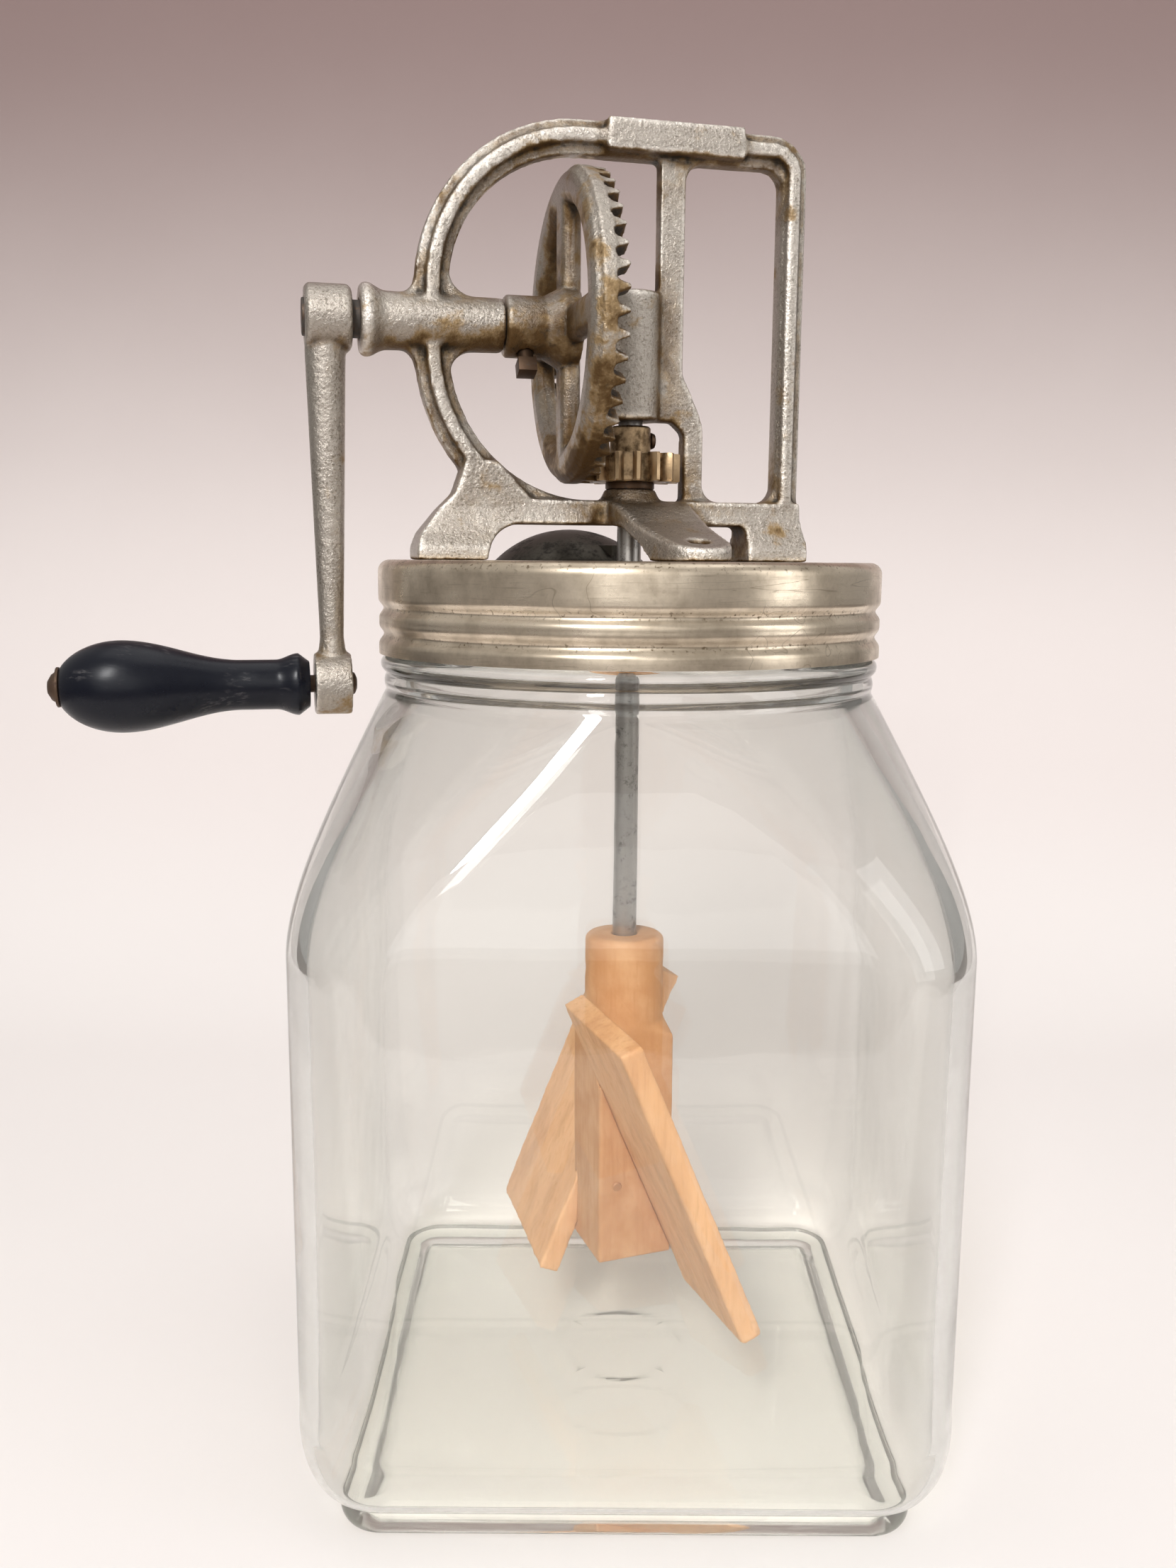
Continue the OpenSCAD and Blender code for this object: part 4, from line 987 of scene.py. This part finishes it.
class CHURN_OT_lid(bpy.types.Operator):
    """Make the rolled screw lid with its holes, and dress the gasket and the vent cap"""
    bl_idname = "churn.lid"
    bl_label = "Screw lid"

    def execute(self, context):
        sizes = context.scene.churn_lid
        look = context.scene.churn_metal
        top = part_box("screw_lid")[1].z
        profile = [(ON_AXIS, top), *lid_outline(sizes, 0.0)]
        profile += [*reversed(lid_outline(sizes, sizes.sheet)), (ON_AXIS, top - sizes.sheet)]
        lid = add_object("lid_shell", lathe("lid_shell", profile, 256))
        vent = sum(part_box("vent_cap"), Vector()) / 2
        for x, y, radius in ((0, 0, sizes.shaft_hole), (vent.x, vent.y, sizes.vent_hole)):
            drill(lid, Matrix.Translation((x, y, top)), radius, 2 * sizes.sheet)
        lid.data.shade_smooth()
        lid.data.set_sharp_from_angle(angle=math.radians(40))
        settle(lid, "head", "lid_metal", lid_finish(look), "screw_lid")
        gasket = fine_copy("gasket_ring", "lid_gasket", 0.3 * MM)
        rubber = metal_finish("aged_rubber", look.rubber, look.rubber_dark, 0.6, 0.5, 8 * MM, 0.0)
        settle(gasket, "seal", "gasket_rubber", rubber, "lid_gasket")
        cap_piece = fine_copy("vent_dome", "vent_cap", 0.2 * MM)
        # The vent cap's dark colour is partly painted shade from the frame over it.
        tin = metal_finish("tin_in_painted_shade", look.vent, look.vent_dark, 0.42, 0.47, 7 * MM)
        settle(cap_piece, "head", "vent_tin", tin, "vent_cap")
        return {"FINISHED"}


class CHURN_OT_castings(bpy.types.Operator):
    """Make the gear frame, the crank arm and the crown wheel as painted sand castings"""
    bl_idname = "churn.castings"
    bl_label = "Castings"

    def execute(self, context):
        look = context.scene.churn_casting
        turn = (0.0, 0.0, -crank_bearing())
        crease_depth = 0.48 * MM
        # The last two numbers move the thresholds of the brown stain and of the sooty painted shade for each
        # casting.
        for name, node, body, slot, voxel, rounds, patina, soot_and_shade in (
                ("frame_casting", "gear_frame", "head", "frame_casting", 0.72 * MM, 5, 0.03, 0.00),
                ("crank_casting", "crank_arm", "crank", "crank_casting", 0.45 * MM, 6, -0.16, -0.02),
                ("crown_wheel", "drive_gear", "crank", "gear_casting", 0.48 * MM, 1, 0.30, 0.18)):
            piece = soft_copy(name, node, voxel, rounds)
            mark_surface(piece, crease_depth)
            settle(piece, body, slot, casting_finish(name + "_paint", look, patina, soot_and_shade, turn), node)
        return {"FINISHED"}


def crank_bearing():
    """Angle of the crank's axis from +X, seen from above."""
    axis = JOINTS["crank_turn"]["axis"]
    return math.atan2(axis[1], axis[0])


class CHURN_OT_fasteners(bpy.types.Operator):
    """Make the frame's screws and the paddles' nails, and dress the set screws and the handle's rivet"""
    bl_idname = "churn.fasteners"
    bl_label = "Fasteners"

    def execute(self, context):
        look = context.scene.churn_metal
        tree, identifiers = headed_pin_tree("headed_pins")
        brown = metal_finish("browned_steel", look.rust, look.steel_dark, 0.45, 0.52, 4 * MM)
        oiled = metal_finish("oiled_nails", look.nail, look.rust, 0.55, 0.56, 2 * MM, 0.3)
        for name, node, body, finish in (("foot_screws", "frame_screws", "head", brown),
                                         ("nail_set", "paddle_nails", "dasher", oiled)):
            places, sizes = pin_places(node)
            piece = add_object(name, places)
            grow(piece, tree, identifiers, material=finish, **sizes)
            settle(piece, body, "screw_steel", finish, node)
        for name, node, body, bevel in (("wheel_set_screw", "gear_set_screw", "crank", 0.35 * MM),
                                        ("pinion_screw", "pinion_set_screw", "dasher", 0.2 * MM),
                                        ("pinion_washer", "thrust_washer", "dasher", 0.3 * MM)):
            settle(fine_copy(name, node, bevel), body, "screw_steel", brown, node)
        rivet = metal_finish("rusted_rivet", look.rust, look.rust_dark, 0.5, 0.5, 3 * MM, 0.7)
        for name, node in (("rivet_pin", "handle_pin"), ("rivet_washer", "handle_washer")):
            settle(fine_copy(name, node, 0.25 * MM), "crank", "rivet_steel", rivet, node)
        return {"FINISHED"}


def loose_solids(node):
    """The points of each separate solid of a CAD node."""
    made = merged_solids(node)
    groups = []
    left = set(made.verts)
    while left:
        queue = [left.pop()]
        group = []
        while queue:
            vertex = queue.pop()
            group.append(np.array(vertex.co))
            for edge in vertex.link_edges:
                other = edge.other_vert(vertex)
                if other in left:
                    left.remove(other)
                    queue.append(other)
        groups.append(np.array(group))
    made.free()
    return sorted(groups, key=lambda points: tuple(np.round(points.mean(0), 5)))


def pin_places(node):
    """A mesh with a point under the head of each pin of a CAD node, and the pins' sizes."""
    spots, facings = [], []
    for points in loose_solids(node):
        middle = points.mean(0)
        axis = np.linalg.eigh(np.cov((points - middle).T))[1][:, -1]
        along = (points - middle) @ axis
        across = np.linalg.norm(points - middle - np.outer(along, axis), axis=1)
        if across[along > 0].max() < across[along < 0].max():
            axis, along = -axis, -along
        head = across > 0.9 * across.max()
        spots.append(middle + axis * along[head].min())
        facings.append(axis)
        sizes = {"head": across.max(), "rise": along.max() - along[head].min(),
                 "shank": np.median(across[~head & (across > 0.2 * across.max())]),
                 "reach": along[head].min() - along.min()}
    mesh = bpy.data.meshes.new(node)
    mesh.from_pydata([tuple(spot) for spot in spots], [], [])
    values = mesh.attributes.new("facing", "FLOAT_VECTOR", "POINT")
    values.data.foreach_set("vector", np.array(facings, dtype=np.float32).ravel())
    return mesh, {key: float(value) for key, value in sizes.items()}


# The handle

def grip_radius(sizes, t):
    """Radius of the turned grip from its outer end, 0, to its inner end, 1."""
    swell_at, waist_from, waist_to, flare_at = 0.24, 0.72, 0.86, 0.955
    ease = lambda s: (1 - math.cos(math.pi * s)) / 2
    if t < swell_at:
        return sizes.swell / 2 * math.sqrt(max(0.0, 1 - ((swell_at - t) / 0.265) ** 2))
    if t < waist_from:
        return between(sizes.swell, sizes.waist, ease((t - swell_at) / (waist_from - swell_at))) / 2
    if t < waist_to:
        return sizes.waist / 2
    if t < flare_at:
        return between(sizes.waist, sizes.flare, ease((t - waist_to) / (flare_at - waist_to))) / 2
    return between(sizes.flare, sizes.waist - 1 * MM, (t - flare_at) / (1 - flare_at)) / 2


class CHURN_OT_handle(bpy.types.Operator):
    """Make the turned black handle"""
    bl_idname = "churn.handle"
    bl_label = "Handle"

    def execute(self, context):
        sizes = context.scene.churn_handle
        steps = 110
        outline = [(grip_radius(sizes, step / steps), sizes.length * step / steps)
                   for step in range(steps + 1)]
        profile = [(sizes.bore, 0.0), *outline, (sizes.bore, sizes.length)]
        axis = Vector(JOINTS["grip_spin"]["axis"]).normalized()
        middle = sum(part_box("handle_grip"), Vector()) / 2
        place = Matrix.Translation(middle) @ axis.to_track_quat("Z", "Y").to_matrix().to_4x4()
        place = place @ Matrix.Translation((0, 0, -sizes.length / 2))
        grip = add_object("turned_grip", lathe("turned_grip", profile, 112, place))
        grip.data.set_sharp_from_angle(angle=math.radians(50))
        finish = lacquer_finish(context.scene.churn_wood, (0.0, 0.0, -crank_bearing()))
        settle(grip, "grip", "handle_lacquer", finish, "handle_grip")
        return {"FINISHED"}


# The pinion

def pinion_sector(sizes, low, high):
    """One tooth with its share of the hub, as a grid of rows from the bore's foot round to its top."""
    pitch = sizes.module * sizes.teeth / 2
    root = pitch - 1.25 * sizes.module
    tip = pitch + 0.75 * sizes.module
    half = math.pi / sizes.teeth
    pressure = math.radians(20)
    base = pitch * math.cos(pressure)
    roll = lambda angle: math.tan(angle) - angle
    thick = 0.39 * half + roll(pressure)
    side = [(root, half)]
    for radius in np.linspace(root, tip, 7):
        side.append((radius, thick - roll(math.acos(min(1.0, base / radius)))))
    outline = [(radius, -angle) for radius, angle in side] + side[::-1]
    bore, hub = sizes.bore, sizes.hub
    edge = 0.3 * MM
    top = low + sizes.face
    # Each row: 1 where it follows the tooth, what is added to its radius, and its height
    rows = [(0, bore, low), (1, -edge, low), (1, 0, low + edge), (1, 0, top - edge), (1, -edge, top),
            (0, hub + edge, top), (0, hub, top + 0.4 * MM), (0, hub, high - 0.5 * MM),
            (0, hub - 0.5 * MM, high), (0, bore, high), (0, bore, low)]
    points, faces = [], []
    for toothed, added, height in rows:
        for tooth, angle in outline:
            radius = toothed * tooth + added
            points.append((radius * math.cos(angle), radius * math.sin(angle), height))
    columns = len(outline)
    for row in range(len(rows) - 1):
        for column in range(columns - 1):
            first = row * columns + column
            faces.append((first, first + 1, first + columns + 1, first + columns))
    mesh = bpy.data.meshes.new("pinion_sector")
    mesh.from_pydata(points, [], faces)
    return mesh


class CHURN_OT_pinion(bpy.types.Operator):
    """Make the brass pinion from one tooth repeated round its axis"""
    bl_idname = "churn.pinion"
    bl_label = "Pinion"

    def execute(self, context):
        sizes = context.scene.churn_pinion
        low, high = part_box("pinion_gear")
        sector = pinion_sector(sizes, low.z, high.z)
        start = crank_bearing() + math.pi + math.pi / sizes.teeth
        sector.transform(Matrix.Rotation(start, 4, "Z"))
        piece = add_object("brass_pinion", sector)
        tree, identifiers = ring_tree("toothed_ring")
        brass = brass_finish(context.scene.churn_metal)
        grow(piece, tree, identifiers, sectors=sizes.teeth, seam=CAD_MERGE, material=brass)
        settle(piece, "dasher", "pinion_brass", brass, "pinion_gear")
        return {"FINISHED"}


# The shafts and the dasher

class CHURN_OT_shafts(bpy.types.Operator):
    """Dress the dasher shaft and the post's pin as turned steel, and the crank shaft as greasy steel,
    darkened as painted shade in the gap between the crank's hub and its bearing
    """
    bl_idname = "churn.shafts"
    bl_label = "Shafts"

    def execute(self, context):
        look = context.scene.churn_metal
        steel = metal_finish("turned_steel", look.steel, look.steel_dark, 0.36, 0.50, 3 * MM)
        # Painted shade: the crank shaft, seen only in the gap between hub and bearing, is painted dark with
        # the rust colour as well as greasy.
        greasy = metal_finish("greasy_steel_in_painted_shade", look.rust, look.steel_dark, 0.40, 0.40, 3 * MM)
        for name, node, body, finish in (("crank_rod", "crank_shaft", "crank", greasy),
                                         ("dasher_rod", "dasher_shaft", "dasher", steel),
                                         ("cross_pin", "post_pin", "dasher", steel)):
            settle(fine_copy(name, node, 0.3 * MM), body, "shaft_steel", finish, node)
        return {"FINISHED"}


class CHURN_OT_dasher(bpy.types.Operator):
    """Make the wooden post and its two slanting paddles with worn edges"""
    bl_idname = "churn.dasher"
    bl_label = "Dasher"

    def execute(self, context):
        look = context.scene.churn_wood
        turn = math.radians(20)
        pitch = math.radians(23)
        voxel, rounds = 0.7 * MM, 6
        post = soft_copy("wood_post", "dasher_post", voxel, rounds)
        maple = wood_finish("post_maple", look, look.post, (0, 0, -turn))
        settle(post, "dasher", "post_wood", maple, "dasher_post")
        for name, node, facing in (("wood_paddle_front", "front_paddle", turn),
                                   ("wood_paddle_back", "back_paddle", turn + math.pi)):
            paddle = soft_copy(name, node, voxel, rounds)
            grain = Matrix.Rotation(pitch, 3, "Y") @ Matrix.Rotation(-facing, 3, "Z")
            finish = wood_finish(name + "_maple", look, look.paddle, tuple(grain.to_euler()))
            settle(paddle, "dasher", "paddle_wood", finish, node)
        return {"FINISHED"}


# Stage

def paper_finish(look):
    """Pale paper with painted light and shade, lighter on the floor and darker high on the wall, that hides
    nothing from behind.
    """
    material, tree, shader = start_material("paper_sweep")
    coords = object_coords(tree)
    height = add(tree, "ShaderNodeSeparateXYZ", {0: coords}).outputs["Z"]
    lifted = weighted(tree, height, (swing(tree, noise(tree, coords, 0.16, 3.0, 0.5)), 0.03))
    # Painted shade: the one pale paper is painted darker up the wall and lighter on the floor, as the light
    # falls off.
    wall = blend(tree, spread(tree, lifted, 0.16, 0.60), look.low_wall, look.high_wall)
    colour = blend(tree, spread(tree, lifted, 0.0, 0.12), look.floor, wall)
    wire(tree, shader, Base_Color=colour, Roughness=0.9, Specular_IOR_Level=0.1,
         Normal=bumps(tree, (noise(tree, coords, 1.2 * MM, 3.0), 0.08, 0.2 * MM)))
    behind = add(tree, "ShaderNodeNewGeometry").outputs["Backfacing"]
    see_through(tree, behind, shader, (1.0, 1.0, 1.0, 1.0))
    return material


def table_finish(look):
    """Dull grey table top round the paper."""
    material, tree, shader = start_material("table_top")
    cloud = noise(tree, object_coords(tree), 0.12, 5.0, 0.6)
    colour = blend(tree, spread(tree, cloud, 0.3, 0.7, 0.0, 0.3), look.table, look.high_wall)
    wire(tree, shader, Base_Color=colour, Roughness=0.6, Specular_IOR_Level=0.2)
    return material


def sweep_mesh(wall_y):
    """Paper that lies on the table and rises in a curve behind the churn."""
    bend = 0.30
    bend_steps = 20
    front = -0.42
    top = 1.2
    half = 0.58
    line = [(front, 0.0), (wall_y - bend, 0.0)]
    for step in range(1, bend_steps + 1):
        angle = math.pi / 2 * step / bend_steps
        line.append((wall_y - bend + bend * math.sin(angle), bend - bend * math.cos(angle)))
    line.append((wall_y, top))
    return sheet_mesh("paper_sweep", line, half)


def sheet_mesh(name, line, half):
    """A sheet of one width along a line of places, each a distance to the back and a height."""
    points = [(x, y, z) for y, z in line for x in (-half, half)]
    faces = [(2 * i, 2 * i + 1, 2 * i + 3, 2 * i + 2) for i in range(len(line) - 1)]
    mesh = bpy.data.meshes.new(name)
    mesh.from_pydata(points, [], faces)
    mesh.shade_smooth()
    return mesh


# Each light's place and size in metres
LIGHTS = {
    "key": ((-0.28, -0.95, 0.95), (0.14, 0.46)),
    "top": ((0.05, 0.10, 1.50), (1.2, 1.0)),
    "front": ((0.0, -1.60, 0.60), (1.3, 0.95)),
    "side": ((1.10, -0.45, 0.55), (0.5, 0.9)),
}
LIGHT_TARGET = Vector((0.0, 0.0, 0.17))


def soft_light(name, place, size, power):
    """A rectangular soft light that faces the middle of the churn."""
    lamp = bpy.data.lights.new(name, "AREA")
    lamp.shape = "RECTANGLE"
    lamp.size, lamp.size_y = size
    lamp.energy = power
    light = add_object(name, lamp)
    light.location = place
    light.rotation_euler = (LIGHT_TARGET - Vector(place)).to_track_quat("-Z", "Y").to_euler()


class CHURN_OT_stage(bpy.types.Operator):
    """Lay the paper sweep, set the soft lights and place the camera"""
    bl_idname = "churn.stage"
    bl_label = "Stage"

    def execute(self, context):
        scene = context.scene
        look = scene.churn_stage
        paper = add_object("paper_sweep", sweep_mesh(look.wall_y))
        paper.data.materials.append(paper_finish(look))
        half, height = 2.5, -1 * MM
        table = add_object("table_top", sheet_mesh("table_top", [(-half, height), (half, height)], half))
        table.data.materials.append(table_finish(look))
        powers = {"key": look.key_power, "top": look.top_power, "front": look.front_power,
                  "side": look.side_power}
        for name, (place, size) in LIGHTS.items():
            soft_light(name + "_light", place, size, powers[name])
        world = bpy.data.worlds.new("room")
        world.use_nodes = True
        sky = world.node_tree
        way = add(sky, "ShaderNodeSeparateXYZ", {0: add(sky, "ShaderNodeTexCoord").outputs["Generated"]})
        strength = spread(sky, way.outputs["Z"], -0.1, 0.75, look.horizon, look.sky)
        wire(sky, sky.nodes["Background"], Color=look.room, Strength=strength)
        scene.world = world
        lens = bpy.data.cameras.new("camera")
        lens.lens = look.lens
        lens.clip_start = 0.01
        camera = add_object("camera", lens)
        tilt = Matrix.Rotation(math.pi / 2 - look.pitch, 4, "X") @ Matrix.Rotation(look.roll, 4, "Z")
        camera.matrix_world = Matrix.Translation((look.camera_x, look.camera_y, look.camera_z)) @ tilt
        scene.camera = camera
        scene.view_settings.view_transform = "Standard"
        return {"FINISHED"}


class CHURN_PT_pieces(bpy.types.Panel):
    """The steps that make the churn"""
    bl_idname = "CHURN_PT_pieces"
    bl_label = "Churn"
    bl_space_type = "VIEW_3D"
    bl_region_type = "UI"
    bl_category = "Churn"

    def draw(self, context):
        for step in STEPS:
            self.layout.operator(step.bl_idname)


STEPS = (CHURN_OT_stage, CHURN_OT_jar, CHURN_OT_lid, CHURN_OT_castings, CHURN_OT_fasteners, CHURN_OT_handle,
         CHURN_OT_pinion, CHURN_OT_shafts, CHURN_OT_dasher)
GROUPS = {
    "churn_jar": JarSizes, "churn_lid": LidSizes, "churn_handle": HandleSizes, "churn_pinion": PinionSizes,
    "churn_casting": CastingLook, "churn_metal": MetalLook, "churn_glass": GlassLook, "churn_wood": WoodLook,
    "churn_stage": StageLook,
}


def register():
    """Adds the properties, the steps and the panel."""
    for group in GROUPS.values():
        bpy.utils.register_class(group)
    for name, group in GROUPS.items():
        setattr(bpy.types.Scene, name, PointerProperty(type=group))
    for step in (*STEPS, CHURN_PT_pieces):
        bpy.utils.register_class(step)


def unregister():
    """Takes the panel, the steps and the properties away again."""
    for step in (CHURN_PT_pieces, *reversed(STEPS)):
        bpy.utils.unregister_class(step)
    for name, group in GROUPS.items():
        delattr(bpy.types.Scene, name)
        bpy.utils.unregister_class(group)


def main():
    """Makes every piece in order."""
    register()
    bpy.ops.churn.stage()
    bpy.ops.churn.jar()
    bpy.ops.churn.lid()
    bpy.ops.churn.castings()
    bpy.ops.churn.fasteners()
    bpy.ops.churn.handle()
    bpy.ops.churn.pinion()
    bpy.ops.churn.shafts()
    bpy.ops.churn.dasher()


if __name__ == "__main__":
    main()
